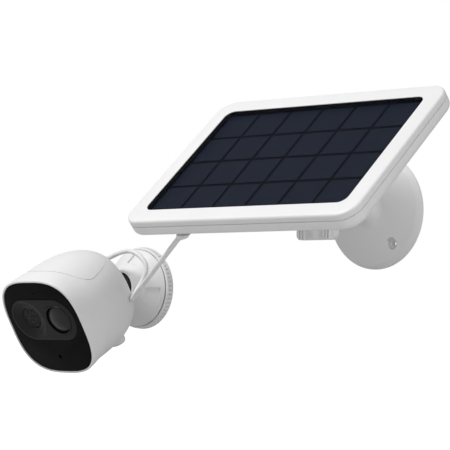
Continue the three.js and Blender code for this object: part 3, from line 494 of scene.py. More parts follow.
WHITE = plastic("white_case_plastic", (0.82, 0.82, 0.82), 0.5, grain=0.012, grain_size=0.5, mottle=0.03)
PANEL_WHITE = plastic("panel_plastic", (0.84, 0.84, 0.84), 0.42, grain=0.008, grain_size=0.6, mottle=0.03)
BLACK = plastic("black_face_plastic", (0.005, 0.005, 0.0053), 0.5, grain=0.006, grain_size=0.4, specular=0.06)
CELL_BLACK = plastic("cell_backing_film", (0.002, 0.0022, 0.004), 0.5, grain=0.004, grain_size=0.8,
                     specular=0.05)
GLOSS = plastic("gloss_black_plastic", (0.0085, 0.0085, 0.009), 0.3, grain=0.0, grain_size=0.8, specular=0.22)
DOME = plastic("sensor_dome_plastic", (0.012, 0.012, 0.013), 0.34, grain=0.004, grain_size=0.5, specular=0.4)
RUBBER = plastic("black_rubber", (0.012, 0.012, 0.013), 0.65, grain=0.02, grain_size=0.3, specular=0.3)
CABLE_WHITE = plastic("cable_sleeve", (0.84, 0.84, 0.84), 0.45, grain=0.006, grain_size=0.5)
WRAP = plastic("cell_wrap_film", (0.04, 0.16, 0.4), 0.3, grain=0.01, grain_size=1.2, mottle=0.1)
BOARD = plastic("circuit_board_coating", (0.02, 0.11, 0.06), 0.35, grain=0.03, grain_size=1.4, mottle=0.25)
STEEL = brushed("plated_steel", (0.62, 0.62, 0.64), 0.3)
BRASS = brushed("turned_brass", (0.72, 0.54, 0.28), 0.3)
GLASS = clear("optical_glass", (0.010, 0.0105, 0.012), roughness=0.15, alpha=0.5, specular=0.3)
SOLAR_GLASS = clear("panel_glass_sheet", (0.01, 0.015, 0.03), roughness=0.2, alpha=0.05, specular=0.05)


def silicon():
    """A dark blue cell with fine collector lines across it."""
    mat, tree, shader, place = new_material("solar_silicon")
    shader.inputs["Roughness"].default_value = 0.45
    shader.inputs["Specular IOR Level"].default_value = 0.08
    across = texture(tree, place, "ShaderNodeTexWave", Scale=95.0, Distortion=0.0, Detail=0.0)
    across.bands_direction = "X"
    line = ranged(tree, across.outputs["Fac"], 0.0, 1.0, 0.86, 1.0)
    grainy = texture(tree, place, "ShaderNodeTexVoronoi", Scale=170.0)
    blue = tree.nodes.new("ShaderNodeMix")
    blue.data_type = "RGBA"
    blue.inputs["A"].default_value = (0.0030, 0.0062, 0.0165, 1)
    blue.inputs["B"].default_value = (0.0060, 0.0105, 0.0235, 1)
    tree.links.new(grainy.outputs["Distance"], blue.inputs["Factor"])
    drawn = tree.nodes.new("ShaderNodeMix")
    drawn.data_type = "RGBA"
    drawn.inputs["B"].default_value = (0.0075, 0.0120, 0.0270, 1)
    tree.links.new(blue.outputs["Result"], drawn.inputs["A"])
    tree.links.new(line, drawn.inputs["Factor"])
    tree.links.new(drawn.outputs["Result"], shader.inputs["Base Color"])
    return mat


SILICON = silicon()


def finish_piece(obj, body, material, slot, *nodes):
    """Gives a piece its material and body, and hides the frame's nodes that it replaces; slot is not used."""
    obj.data.materials.clear()
    obj.data.materials.append(material)
    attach(obj, body)
    if nodes:
        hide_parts(*nodes)
    return obj


# ---------- cable runs ----------
def smooth_route(points, per_span=8):
    """A Catmull-Rom curve with centripetal knots through the points."""
    pts = [Vector(p) for p in points]
    pts = [pts[0] * 2 - pts[1]] + pts + [pts[-1] * 2 - pts[-2]]
    out = []
    for a, b, c, d in zip(pts, pts[1:], pts[2:], pts[3:]):
        t0 = 0.0
        t1 = t0 + (b - a).length ** 0.5
        t2 = t1 + (c - b).length ** 0.5
        t3 = t2 + (d - c).length ** 0.5
        for i in range(per_span):
            t = t1 + (t2 - t1) * i / per_span
            a1 = a * ((t1 - t) / (t1 - t0)) + b * ((t - t0) / (t1 - t0))
            a2 = b * ((t2 - t) / (t2 - t1)) + c * ((t - t1) / (t2 - t1))
            a3 = c * ((t3 - t) / (t3 - t2)) + d * ((t - t2) / (t3 - t2))
            b1 = a1 * ((t2 - t) / (t2 - t0)) + a2 * ((t - t0) / (t2 - t0))
            b2 = a2 * ((t3 - t) / (t3 - t1)) + a3 * ((t - t1) / (t3 - t1))
            out.append(b1 * ((t2 - t) / (t2 - t1)) + b2 * ((t - t1) / (t2 - t1)))
    out.append(pts[-2])
    return out


def tube(name, path, radius, sides=20):
    """A round tube along a path, its section carried along without twist."""
    rings = []
    tangent = (path[1] - path[0]).normalized()
    side = tangent.cross(UP).normalized()
    for i, point in enumerate(path):
        ahead = path[min(i + 1, len(path) - 1)] - path[max(i - 1, 0)]
        ahead.normalize()
        side = tangent.rotation_difference(ahead) @ side
        tangent = ahead
        other = tangent.cross(side)
        rings.append([
            point + radius * (math.cos(a) * side + math.sin(a) * other)
            for a in (2 * math.pi * k / sides for k in range(sides))
        ])
    return skin(name, rings, ROOM, 60)


def add_cable():
    """One run of cable, cut into lengths that each span one joint on the way; no length bends at its joint.
    """
    path = smooth_route(CABLE_ROUTE)
    travelled = [0.0]
    for a, b in zip(path, path[1:]):
        travelled.append(travelled[-1] + (b - a).length)
    joins = [
        ("camera", "camera_stud", 0, 32.0),
        ("camera_stud", "camera_seat", 32.0, 64.0),
        ("camera_seat", "wall", 64.0, 120.0),
        ("wall", "panel_seat", 120.0, 155.0),
        ("panel_seat", "panel_stud", 155.0, 200.0),
        ("panel_stud", "panel", 200.0, travelled[-1]),
    ]
    for number, (first, second, start, end) in enumerate(joins):
        low = min(range(len(path)), key=lambda i: abs(travelled[i] - start))
        high = min(range(len(path)), key=lambda i: abs(travelled[i] - end))
        part = path[low:high + 1]
        obj = tube(f"cable_run_{number + 1}", part, CABLE_DIAMETER / 2)
        obj.data.materials.append(CABLE_WHITE)
        # a and b mark where the bend would start and end in each length, late beside the camera to keep the
        # cable off the housing;
        # nothing uses them, so no length bends, and the cable cuts into the housing where camera_turn is at
        # its lower limit
        early, late = (0.45, 0.97) if number < 3 else (0.12, 0.88)
        a = (part[0] + (part[-1] - part[0]) * early) * MM
        b = (part[0] + (part[-1] - part[0]) * late) * MM
        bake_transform(obj)
        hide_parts("cable")


add_cable()


# ---------- camera mount ----------
SOCKET = BALL_RADIUS + GAP + SEAT_WALL + GAP
MOUNT_BOSS_RADIUS = SOCKET + 2.6
BOSS_OUT = BALL_OUT - 1.5


def knurl(radius, along, angle):
    """Short sunken dashes round the middle of the plate's rim."""
    if radius < PLATE_RADIUS - PLATE_BEVEL or not -KNURL_FAR < along < -KNURL_NEAR:
        return radius, along
    phase = (angle / (2 * math.pi) * KNURL_TICKS) % 1.0
    return (radius - KNURL_DEPTH, along) if 0.3 < phase < 0.6 else (radius, along)


def turned_shape(name, profile, change, segments):
    """A turned solid about Y whose radius and height may change with the angle."""
    rings = []
    for radius, along in profile:
        ring = []
        for i in range(segments):
            angle = 2 * math.pi * i / segments
            r, y = change(radius, along, angle)
            ring.append((r * math.cos(angle), y, r * math.sin(angle)))
        rings.append(ring)
    return skin(name, rings, ROOM, 30.0)


def add_wall_plate():
    """The plate: knurled side, groove under the collar's edge, and boss and bowl for the ball."""
    wide, band, collar = PLATE_RADIUS, PLATE_BAND, COLLAR_BASE_RADIUS
    groove = -band + 1.4
    side = [
        (wide - 0.5, 0), (wide, -0.4), (wide, -0.9), (wide - 0.45, -1.05), (wide - 0.45, -1.3),
        (wide - 0.05, -1.45), (wide - 0.1, -KNURL_NEAR + 0.05), (wide - 0.1, -KNURL_NEAR - 0.05),
        (wide - 0.4, -KNURL_FAR + 0.05), (wide - 0.4, -KNURL_FAR - 0.05),
        (wide - 0.7, -5.7), (wide - PLATE_BEVEL, -band), (collar + 0.2, -band),
        (collar + 0.1, groove), (collar - 1.0, groove), (collar - 1.1, -band),
    ]
    front = [(MOUNT_BOSS_RADIUS, -band), (MOUNT_BOSS_RADIUS, -BOSS_OUT)]
    rim = angle_at(SOCKET, BALL_OUT - BOSS_OUT)
    bowl = arc(SOCKET, -BALL_OUT, rim, 6, 14)
    obj = turned_shape("mount_wall_plate", [(0.5, 0)] + side + front + bowl, knurl, segments=480)
    heights = (WALL_SCREW_SPREAD, -WALL_SCREW_SPREAD)
    boolean(obj, [rod("hole", WALL_SCREW_HOLE, -1, 9, OUT, (0, 0, z), ROOM, 32) for z in heights])
    finish_piece(obj, "wall", WHITE, "white_case", "wall_plate")


def ledge(radius, along, angle):
    """Four grip ledges: a sharp step, sunk just clockwise of it and fading out."""
    across = (radius - LEDGE_INNER) / (LEDGE_OUTER - LEDGE_INNER)
    if along > -LEDGE_START or not 0 < across < 1:
        return radius, along
    clockwise = (90.0 - math.degrees(angle)) % 90.0
    if clockwise > LEDGE_SWEEP:
        return radius, along
    ends = min(1.0, LEDGE_ENDS * across, LEDGE_ENDS * (1 - across))
    sunk = LEDGE_DEPTH * (1 - clockwise / LEDGE_SWEEP) * ends
    return radius - sunk * LEDGE_SLANT, along + sunk * LEDGE_SLANT


def add_collar():
    """A ring with a straight cone outside, where the ledges are, and the ball's socket inside its lip."""
    base, lip = COLLAR_BASE_RADIUS, COLLAR_LIP_RADIUS
    base_out = PLATE_BAND + GAP
    cone_top = COLLAR_OUT - COLLAR_LIP_ROUND
    outer = [(base - 0.7, -base_out), (base - 0.3, -base_out - 0.15), (base, -base_out - 0.5)]
    steps = 34
    for i in range(1, steps + 1):
        share = i / steps
        outer.append((base + (lip - base) * share, -(base_out + 0.5 + (cone_top - base_out - 0.5) * share)))
    outer += [(lip - 0.3, -cone_top - 0.7), (lip - 0.9, -COLLAR_OUT + 0.1), (lip - 1.6, -COLLAR_OUT)]
    throat = angle_at(SOCKET, COLLAR_OUT - BALL_OUT)
    inner = [(SOCKET * math.sin(math.radians(180 - throat)) + 0.4, -COLLAR_OUT)]
    inner += arc(SOCKET, -BALL_OUT, 180 - throat, 92, 12)
    inner += [(MOUNT_BOSS_RADIUS + GAP, -BALL_OUT + 0.6), (MOUNT_BOSS_RADIUS + GAP, -BOSS_OUT + 1.8),
              (base - COLLAR_WALL, -base_out - 0.6), (base - COLLAR_WALL, -base_out)]
    profile = outer + inner
    segments = 360
    points, faces = [], []
    for radius, along in profile:
        for i in range(segments):
            angle = 2 * math.pi * (i + 0.5) / segments
            r, y = ledge(radius, along, angle) if (radius, along) in outer else (radius, along)
            points.append((r * math.cos(angle), y, r * math.sin(angle)))
    for k in range(len(profile)):
        nxt = (k + 1) % len(profile)
        for i in range(segments):
            j = (i + 1) % segments
            faces.append((k * segments + i, k * segments + j, nxt * segments + j, nxt * segments + i))
    obj = make("mount_collar", points, faces, ROOM, 24)
    finish_piece(obj, "collar", WHITE, "white_case", "locking_collar")


def add_ball_stud():
    neck = 180 - math.degrees(math.asin(NECK_RADIUS / BALL_RADIUS))
    rear = STUD_TO_FRONT - REAR_FLAT
    profile = arc(BALL_RADIUS, 0, 0, neck, 48)
    turns, pitch = 7, 0.8
    crest, root = THREAD_RADIUS - 0.2, THREAD_RADIUS - 0.55
    thread = [(NECK_RADIUS, -rear + GAP), (crest, -rear + GAP)]
    for i in range(turns):
        at = rear + 0.2 + i * pitch
        thread += [(crest, -at), (root, -at - pitch / 2)]
    thread += [(THREAD_RADIUS - 0.8, -rear - STUD_REACH), (0, -rear - STUD_REACH)]
    obj = lathe("mount_ball_stud", profile + thread, TILTED, segments=96, smooth=40)
    finish_piece(obj, "camera_stud", RUBBER, "black_rubber", "ball_stud")


add_wall_plate()
add_collar()
add_ball_stud()


# ---------- camera body ----------
def section(depth):
    """The body at a depth: half width, half heights below and above, outline power, middle's height."""
    share = depth / DOME_END
    middle = -DROOP * share * share
    if depth <= FULLEST_AT:
        size = 1 + FULLER_BY * depth / FULLEST_AT
        power = FRONT_POWER + (REAR_POWER - FRONT_POWER) * depth / FULLEST_AT
        return HALF_WIDTH * size, HALF_HEIGHT * size, HALF_HEIGHT * size, power, middle
    along = (depth - FULLEST_AT) / (DOME_END - FULLEST_AT)
    size = (1 + FULLER_BY) * (1 - along ** DOME_POWER) ** (1 / DOME_POWER)
    top = (1 + FULLER_BY) * (1 - along ** TOP_POWER) ** (1 / TOP_POWER)
    return HALF_WIDTH * size, HALF_HEIGHT * size, HALF_HEIGHT * top, REAR_POWER, middle


def body_ring(depth, shape_depth, inset, count=144):
    """The outline that the body has at shape_depth, drawn at depth and pulled in by inset."""
    side, low, high, power, middle = section(shape_depth)
    return [(x * (side - inset), depth, middle + z * ((high if z > 0 else low) - inset))
            for x, z in superellipse(1, 1, power, count)]


def body_skin(name):
    rings = [body_ring(0, 0, RIM), body_ring(0.0, 0, 0.85), body_ring(0.12, 0, 0.45), body_ring(0.4, 0, 0.15)]
    depths = [0.9, 1.8] + [3 + 2.05 * i for i in range(6)] + [FULLEST_AT]
    depths += [FULLEST_AT + 1.9 * i for i in range(1, 24)]
    depths += [60.6, 62.2, 63.7, 65.0, 66.2, 67.2, 68.0, 68.7, 69.3, 69.75]
    rings += [body_ring(d, d, 0) for d in depths]
    rings += [body_ring(REAR_FLAT, REAR_FLAT, 0.35)]
    return skin(name, rings, BODY, 50)


def body_hollow():
    """The inside, one wall in: each outline is taken from a little further back on the dome."""
    depths = [9, 12.5, 16, 20, 24, 28, 32, 36, 40, 44, 47, 50, 53, 56, 58.5, 60.5, 62.5, 64.5, 66.2, 67.5]
    further = HOUSING_WALL * 0.75
    rings = [body_ring(d, min(d + further, REAR_FLAT), HOUSING_WALL, 96) for d in depths]
    return skin("hollow", rings, BODY, 50)


def face_outline(grow):
    return superellipse(HALF_WIDTH - RIM + grow, HALF_HEIGHT - RIM + grow, FRONT_POWER, 144)


def cover_cutter(gap):
    """A block with a bowed front edge, a rounded lower front corner, flat sides and a slanted rear."""
    reach = HALF_WIDTH * 1.3
    floor, roof = COVER_SIDE + gap, HALF_HEIGHT * 1.35
    corner = COVER_CORNER - gap

    def rear(z):
        return COVER_REAR - gap + COVER_REAR_SLOPE * (z - COVER_REAR_HEIGHT)

    rings = []
    steps = 36
    for i in range(steps + 1):
        x = -reach + 2 * reach * i / steps
        front = COVER_FRONT + gap + COVER_CURVE * x * x
        outline = [(rear(roof), roof), (front, roof)]
        for k in range(9):
            angle = math.radians(90 * k / 8)
            y, z = front + corner - corner * math.cos(angle), floor + corner - corner * math.sin(angle)
            outline.append((y, z))
        outline.append((rear(floor), floor))
        rings.append([(x, y, z) for y, z in outline])
    return skin("cover_cutter", rings, BODY)


def add_housing():
    shell = body_skin("camera_housing")
    end = BOSS_END - BOSS_START
    foot = lathe("boss", [
        (0, 0), (BOSS_RADIUS + 2.4, 0), (BOSS_RADIUS + 1.2, 6), (BOSS_RADIUS + 0.5, 9.5),
        (BOSS_RADIUS + 0.1, 13), (BOSS_RADIUS, end - 1.2), (BOSS_RADIUS - 0.35, end - 0.4),
        (BOSS_RADIUS - 0.9, end), (0, end),
    ], BODY, -UP, (0, BOSS_AT, -BOSS_START), 72)
    boolean(shell, [foot], "UNION")
    mouth = plate("mouth", face_outline(GAP), -2, FACE_POCKET, BODY)
    stud = (0, REAR_FLAT, -AXIS_ABOVE_STUD)
    cuts = [
        body_hollow(),
        mouth,
        cover_cutter(0),
        rod("stud_hole", INSERT_RADIUS + GAP, -INSERT_DEPTH, 2, BACK, stud, BODY),
        rod("boss_hole", INSERT_RADIUS + GAP, -2, INSERT_DEPTH, UP, (0, BOSS_AT, -BOSS_END), BODY),
        rod("port_hole", PLUG_RADIUS + GAP, -6, 2, BACK, PORT, BODY),
    ]
    boolean(shell, cuts)
    finish_piece(shell, "camera", WHITE, "white_case", "housing")

    cover = body_skin("camera_top_cover")
    boolean(cover, [body_hollow()])
    boolean(cover, [cover_cutter(GAP)], "INTERSECT")
    finish_piece(cover, "cover", WHITE, "white_case", "top_cover")


# ---------- face ----------
def layered(name, outlines):
    """A solid on the body through outlines of equal length, each (outline in x and z, y)."""
    return skin(name, [[(x, y, z) for x, z in outline] for outline, y in outlines], BODY)


def add_face():
    front, back = FACE_RECESS, FACE_RECESS + FACE_THICKNESS
    face = layered("camera_face", [
        (face_outline(-0.35), front), (face_outline(-0.1), front + 0.1), (face_outline(0), front + 0.35),
        (face_outline(0), back),
    ])
    slot = obround(SENSOR_SPACING, BEZEL_RADIUS + 0.2, SENSOR_HEIGHT)
    holes = [layered("slot", [(slot, -2), (slot, 8)])]
    for radius, z in ((LIGHT_HOLE_RADIUS, LIGHT_SENSOR_HEIGHT), (MIC_HOLE_RADIUS, -MIC_BELOW)):
        holes.append(rod("pinhole", radius, -2, 8, BACK, (0, 0, z), BODY, 32))
    boolean(face, holes)
    finish_piece(face, "camera", BLACK, "black_face", "face_plate")

    def ring(grow):
        return obround(SENSOR_SPACING, BEZEL_RADIUS + grow, SENSOR_HEIGHT)

    bezel = layered("sensor_surround", [
        (ring(-0.7), 0.0), (ring(-0.3), 0.08), (ring(-0.06), 0.3), (ring(0), 0.6), (ring(0), BEZEL_THICKNESS),
    ])
    dish = [(0, -1), (DISH_RADIUS, -1), (DISH_RADIUS, 0.02)]
    steps = 5
    for i in range(steps):
        outer = DISH_RADIUS - 0.5 - i * (DISH_RADIUS - WINDOW_RADIUS - 1.6) / steps
        depth = 0.3 + i * (DISH_DEPTH - 0.3) / steps
        dish += [(outer, depth), (outer - 0.75, depth + 0.12)]
    dish += [(WINDOW_RADIUS + 0.9, DISH_DEPTH), (WINDOW_RADIUS + 0.15, DISH_DEPTH + 0.1),
             (WINDOW_RADIUS + 0.15, 6), (0, 6)]
    lens_point = (-SENSOR_SPACING, 0, SENSOR_HEIGHT)
    pir_point = (SENSOR_SPACING, 0, SENSOR_HEIGHT)
    boolean(bezel, [
        lathe("dish", dish, BODY, BACK, lens_point, 96),
        rod("pir_hole", PIR_RADIUS + PIR_RING + 0.15, -2, 8, BACK, pir_point, BODY, 96),
    ])
    finish_piece(bezel, "camera", GLOSS, "gloss_black", "sensor_bezel")

    at = DISH_DEPTH + 0.2
    pane = lathe("lens_cover_glass", [
        (0, at), (WINDOW_RADIUS - 0.25, at), (WINDOW_RADIUS, at + 0.2),
        (WINDOW_RADIUS, at + WINDOW_THICKNESS), (0, at + WINDOW_THICKNESS),
    ], BODY, BACK, lens_point, 96)
    finish_piece(pane, "camera", GLASS, "clear_glass", "lens_window")
    mouth = DISH_DEPTH + 2.2
    barrel = lathe("lens_barrel_stepped", [
        (LENS_RADIUS + 0.3, mouth + 0.5), (LENS_RADIUS + 0.7, mouth), (LENS_RADIUS + 1.5, mouth),
        (LENS_RADIUS + 1.6, mouth + 0.1), (LENS_RADIUS + 1.6, mouth + 4), (LENS_RADIUS + 0.9, BARREL_BACK),
        (LENS_RADIUS - 0.4, BARREL_BACK), (LENS_RADIUS - 0.4, mouth + 3.4), (LENS_RADIUS + 0.3, mouth + 3.4),
    ], BODY, BACK, lens_point, 96, closed=True)
    finish_piece(barrel, "camera", BLACK, "black_face", "lens_barrel")
    glass_at = DISH_DEPTH + 3.4
    dome = arc(LENS_SPHERE, glass_at + LENS_SPHERE - LENS_BULGE, 180, 180 - LENS_SPREAD, 10)
    lens = lathe("front_lens_dome", dome + [(LENS_RADIUS, glass_at + 1.6), (0, glass_at + 1.6)],
                 BODY, BACK, lens_point, 96)
    finish_piece(lens, "camera", GLOSS, "clear_glass", "front_lens")

    surround = lathe("pir_surround", [
        (PIR_RADIUS + 0.15, -0.2), (PIR_RADIUS + 0.35, -0.42), (PIR_RADIUS + 0.7, -0.5),
        (PIR_RADIUS + 1.0, -0.4), (PIR_RADIUS + PIR_RING, -0.1), (PIR_RADIUS + PIR_RING, BEZEL_THICKNESS),
        (PIR_RADIUS + 0.15, BEZEL_THICKNESS),
    ], BODY, BACK, pir_point, 120, closed=True)
    finish_piece(surround, "camera", GLOSS, "gloss_black", "pir_ring")
    base = PIR_DOME_HEIGHT * PIR_DOME_SUNK
    top = base - PIR_DOME_HEIGHT
    sphere = (PIR_RADIUS ** 2 + PIR_DOME_HEIGHT ** 2) / (2 * PIR_DOME_HEIGHT)
    reach = math.degrees(math.asin((PIR_RADIUS - 0.1) / sphere))
    outside = arc(sphere, top + sphere, 180, 180 - reach, 24)
    skirt = [(PIR_RADIUS - 0.1, BEZEL_THICKNESS), (PIR_RADIUS - 1.3, BEZEL_THICKNESS)]
    inside = arc(sphere - PIR_DOME_WALL, top + sphere, 180 - reach * 0.86, 180, 12)
    pir = lathe("pir_lens_dome", outside + skirt + inside, BODY, BACK, pir_point, 120)
    finish_piece(pir, "camera", DOME, "dark_dome", "pir_dome")


def add_plug():
    """The plug in its port, and the ribbed boot behind it that the cable comes out of."""
    wide, cable = PLUG_RADIUS, CABLE_DIAMETER / 2
    reach = cable + GAP
    boot = lathe("cable_boot", [
        (reach, 0.9), (wide + 0.2, 0.9), (wide + 0.4, 1.2), (wide + 0.4, 2.9), (wide + 0.2, 3.3),
        (wide - 0.4, 3.5), (wide - 0.4, 4.2), (wide - 0.1, 4.4), (wide - 0.1, 5.2), (wide - 0.5, 5.4),
        (wide - 0.5, 6.0), (wide - 0.3, 6.2), (wide - 0.4, 7.2), (wide - 0.7, 7.4), (cable + 0.8, 9.3),
        (reach, 9.4),
    ], BODY, BACK, PORT, 48, closed=True)
    finish_piece(boot, "camera", CABLE_WHITE, "cable_white", "plug_boot")
    plug = lathe("cable_plug_body", [
        (0, -5.4), (wide - 1.3, -5.4), (wide - 1.2, -5.3), (wide - 1.2, -4.6),
        (wide - 0.2, -4.6), (wide, -4.4), (wide, 0.6), (0, 0.6),
    ], BODY, BACK, PORT, 48)
    finish_piece(plug, "camera", RUBBER, "black_rubber", "cable_plug")


add_housing()
add_face()
add_plug()


# ---------- panel bracket ----------
HEAD_SOCKET = PANEL_BALL_RADIUS + GAP + SEAT_WALL + GAP
HEAD_RADIUS = HEAD_SOCKET + HEAD_WALL
MOUTH = Vector((0, -math.cos(math.radians(HEAD_AIM)), math.sin(math.radians(HEAD_AIM))))
HEAD = (0, -PANEL_BALL_OUT, 0)
KNOB_POINT = (0, -PANEL_BALL_OUT + KNOB_BACK, -KNOB_BELOW)


def add_bracket():
    """Round base, cone and arm turned in one, with the clamp head and the knob's boss joined on."""
    cone_end = BRACKET_RIM + CONE_RISE
    root = ARM_RADIUS + ARM_FILLET
    wide, rim = BRACKET_RADIUS, BRACKET_RIM
    profile = [(0, 0), (wide - 0.4, 0), (wide, -0.4), (wide, -rim + 3.0), (wide - 0.2, -rim + 2.6),
               (wide - BRACKET_BEVEL, -rim), (wide - BRACKET_BEVEL - 0.5, -rim - 0.2)]
    steps = 20
    for i in range(steps + 1):
        angle = math.radians(90 * i / steps)
        profile.append((root - ARM_FILLET * math.sin(angle),
                        -(cone_end + ARM_FILLET - ARM_FILLET * math.cos(angle))))
    reach = -PANEL_BALL_OUT + HEAD_SOCKET + 0.5
    profile += [(ARM_RADIUS, reach), (0, reach)]
    base = lathe("bracket_and_arm", profile, BRACKET_PLACE, segments=144)
    head = lathe("head", arc(HEAD_RADIUS, 0, 0, 180, 48), BRACKET_PLACE, MOUTH, HEAD, 96)
    boss = rod("boss", KNOB_SCREW_RADIUS + 2.6, -KNOB_BELOW + KNOB_THICKNESS / 2 + 0.6, -HEAD_SOCKET * 0.5,
               UP, (0, KNOB_POINT[1], 0), BRACKET_PLACE, 64)
    boolean(base, [head, boss], "UNION")
    spread = math.tan(math.radians(HEAD_OPENING))
    deep = HEAD_RADIUS + 6
    holes = [
        lathe("socket", arc(HEAD_SOCKET, 0, 0, 180, 48), BRACKET_PLACE, MOUTH, HEAD, 96),
        lathe("mouth", [(0, 0), (deep * spread, deep), (0, deep)], BRACKET_PLACE, MOUTH, HEAD, 96),
        rod("screw_hole", KNOB_SCREW_RADIUS + GAP, -KNOB_BELOW, -HEAD_SOCKET * 0.4, UP,
            (0, KNOB_POINT[1], 0), BRACKET_PLACE),
    ]
    for angle in SCREW_ANGLES:
        c, s = math.cos(math.radians(angle)), math.sin(math.radians(angle))
        holes.append(lathe("screw", [
            (0, -1), (SCREW_HOLE_RADIUS, -1), (SCREW_HOLE_RADIUS, SCREW_FLOOR),
            (SCREW_HEAD_RADIUS, SCREW_FLOOR), (SCREW_HEAD_RADIUS, BRACKET_RIM + 9), (0, BRACKET_RIM + 9),
        ], BRACKET_PLACE, OUT, (SCREW_RING * c, 0, SCREW_RING * s), 48))
    boolean(base, holes)
    finish_piece(base, "wall", WHITE, "white_case", "bracket_base")


def add_knob():
    """The wing knob: a slim wing, round at both ends, with upright ribs and a round hub."""
    half, tall, flank, hub = KNOB_LENGTH / 2, KNOB_THICKNESS / 2, KNOB_WIDTH * 0.34, KNOB_WIDTH / 2
    end = tall * 1.15

    def half_thickness(x):
        width = flank
        for k in range(KNOB_RIBS):
            off = abs(abs(x) - (half - RIB_FIRST - RIB_SPACE * k)) / RIB_HALF_WIDTH
            if off < 1:
                width = max(width, flank + RIB_HEIGHT * (1 - off ** 4))
        if abs(x) < hub:
            width = max(width, math.sqrt(hub * hub - x * x))
        return width

    def share(x):
        past = max(0.0, abs(x) - (half - end)) / end
        return max(0.02, math.sqrt(max(0.0, 1 - past * past)))

    rings = []
    count = 300
    for i in range(count + 1):
        x = -half + KNOB_LENGTH * i / count
        ring = superellipse(half_thickness(x) * (0.35 + 0.65 * share(x)), tall * share(x), 7.0, 48)
        rings.append([(x, y, z) for y, z in ring])
    place = BRACKET_PLACE @ Matrix.Translation(KNOB_POINT)
    knob = skin("clamp_wing_knob", rings, place, 40)
    bore = rod("bore", KNOB_SCREW_RADIUS + GAP, -tall + 2.4, 9, UP, KNOB_POINT, BRACKET_PLACE)
    boolean(knob, [bore])
    finish_piece(knob, "knob", WHITE, "white_case", "wing_knob")


def add_panel_stud():
    """The panel's ball, its flared neck, the pad behind the panel and the plain end in the insert."""
    back = PANEL_BACK - GAP - PAD_THICKNESS
    front = back + PAD_THICKNESS
    neck, end = PANEL_NECK_RADIUS, PANEL_BACK + 5.4
    start = math.degrees(math.asin(neck / PANEL_BALL_RADIUS))
    profile = arc(PANEL_BALL_RADIUS, 0, 180, start, 40) + [
        (neck, back - 5), (neck + 0.4, back - 3.2), (neck + 1.3, back - 1.6), (neck + 3.0, back - 0.2),
        (PAD_RADIUS - 0.5, back + 0.5), (PAD_RADIUS, back + 1.1), (PAD_RADIUS, front - 0.3),
        (PAD_RADIUS - 0.3, front), (THREAD_RADIUS - 0.2, front), (THREAD_RADIUS - 0.2, end), (0, end),
    ]
    stud = lathe("panel_stud_and_pad", profile, PANEL, UP, (0, 0, 0), 96)
    finish_piece(stud, "panel_stud", STEEL, "steel", "panel_ball_stud")


# ---------- solar panel ----------
SHELL_FRONT = PANEL_BACK + PANEL_THICKNESS - FRAME_SPLIT
PANEL_FRONT = PANEL_BACK + PANEL_THICKNESS
GLASS_BACK = PANEL_FRONT - GLASS_SUNK - GLASS_THICKNESS
CELL_BACKING = GLASS_BACK - GAP - CELL_SHEET


def tray(name, layers):
    """Rounded rectangles stacked along the panel's normal: (shrink, height)."""
    rings = []
    for shrink, z in layers:
        outline = rounded(PANEL_LENGTH - 2 * shrink, PANEL_HEIGHT - 2 * shrink, PANEL_CORNER - shrink, 12)
        rings.append([(x, y, z) for x, y in outline])
    return skin(name, rings, PANEL, 30)


def glass_block(name, grow, rounder, z0, z1):
    """The glass's outline grown by one amount and its corners by another, filled from z0 to z1."""
    outline = rounded(GLASS_LENGTH + 2 * grow, GLASS_HEIGHT + 2 * grow, GLASS_CORNER + rounder)
    return slab(name, outline, z0, z1, PANEL)


def layered_slab(name, layers):
    """The glass's outline stacked along the panel's normal: (shrink, height)."""
    rings = []
    for shrink, z in layers:
        outline = rounded(GLASS_LENGTH - 2 * shrink, GLASS_HEIGHT - 2 * shrink, GLASS_CORNER - shrink)
        rings.append([(x, y, z) for x, y in outline])
    return skin(name, rings, PANEL, 30)


def add_panel():
    back = PANEL_BACK
    rim = []
    for k in range(11):
        angle = math.radians(90 * k / 10)
        shrink = SHELL_ROUND * (1 - math.sin(angle)) ** 1.05
        rim.append((shrink, back + SHELL_ROUND * 0.85 * (1 - math.cos(angle))))
    shell = tray("panel_back_shell", rim + [
        (0.0, SHELL_FRONT - 0.5), (0.15, SHELL_FRONT - 0.12), (0.5, SHELL_FRONT),
    ])
    hollow = tray("hollow", [
        (SHELL_ROUND + SHELL_WALL, back + SHELL_WALL), (SHELL_WALL + 0.6, back + SHELL_WALL + 3),
        (SHELL_WALL + 0.6, SHELL_FRONT + 1),
    ])
    lug = rod("lug", INSERT_RADIUS + 3, back, SHELL_FRONT - 0.8, UP, (0, 0, 0), PANEL)
    boolean(hollow, [lug])
    boolean(shell, [hollow, rod("seat", INSERT_RADIUS + GAP, back - 1, back + 7, UP, (0, 0, 0), PANEL)])
    finish_piece(shell, "panel", PANEL_WHITE, "panel_white", "back_shell")

    front = PANEL_FRONT
    rim_frame = tray("panel_front_frame", [
        (0.5, SHELL_FRONT + GAP), (0.15, SHELL_FRONT + GAP + 0.12), (0.0, SHELL_FRONT + GAP + 0.5),
        (0.0, front - 1.9), (0.15, front - 1.2), (0.5, front - 0.6), (1.1, front - 0.18), (1.9, front),
    ])
    opening = glass_block("opening", -4, -3, SHELL_FRONT - 1, front + 1)
    pocket = glass_block("pocket", 0.3, 0.3, CELL_BACKING - GAP, front + 1)
    boolean(rim_frame, [opening, pocket])
    finish_piece(rim_frame, "panel", PANEL_WHITE, "panel_white", "front_frame")

    glass_front = GLASS_BACK + GLASS_THICKNESS
    glass = layered_slab("panel_cover_glass", [(0.3, GLASS_BACK), (0.0, GLASS_BACK + 0.3),
                                               (0.0, glass_front - 0.3), (0.3, glass_front)])
    finish_piece(glass, "panel", SOLAR_GLASS, "clear_glass", "panel_glass")
    seal = glass_block("glass_seal", 0.25, 0.25, CELL_BACKING + 0.05, front - GLASS_SUNK)
    boolean(seal, [glass_block("inner", 0.05, 0.05, CELL_BACKING - 1, front + 1)])
    finish_piece(seal, "panel", RUBBER, "black_rubber")
    add_cells()


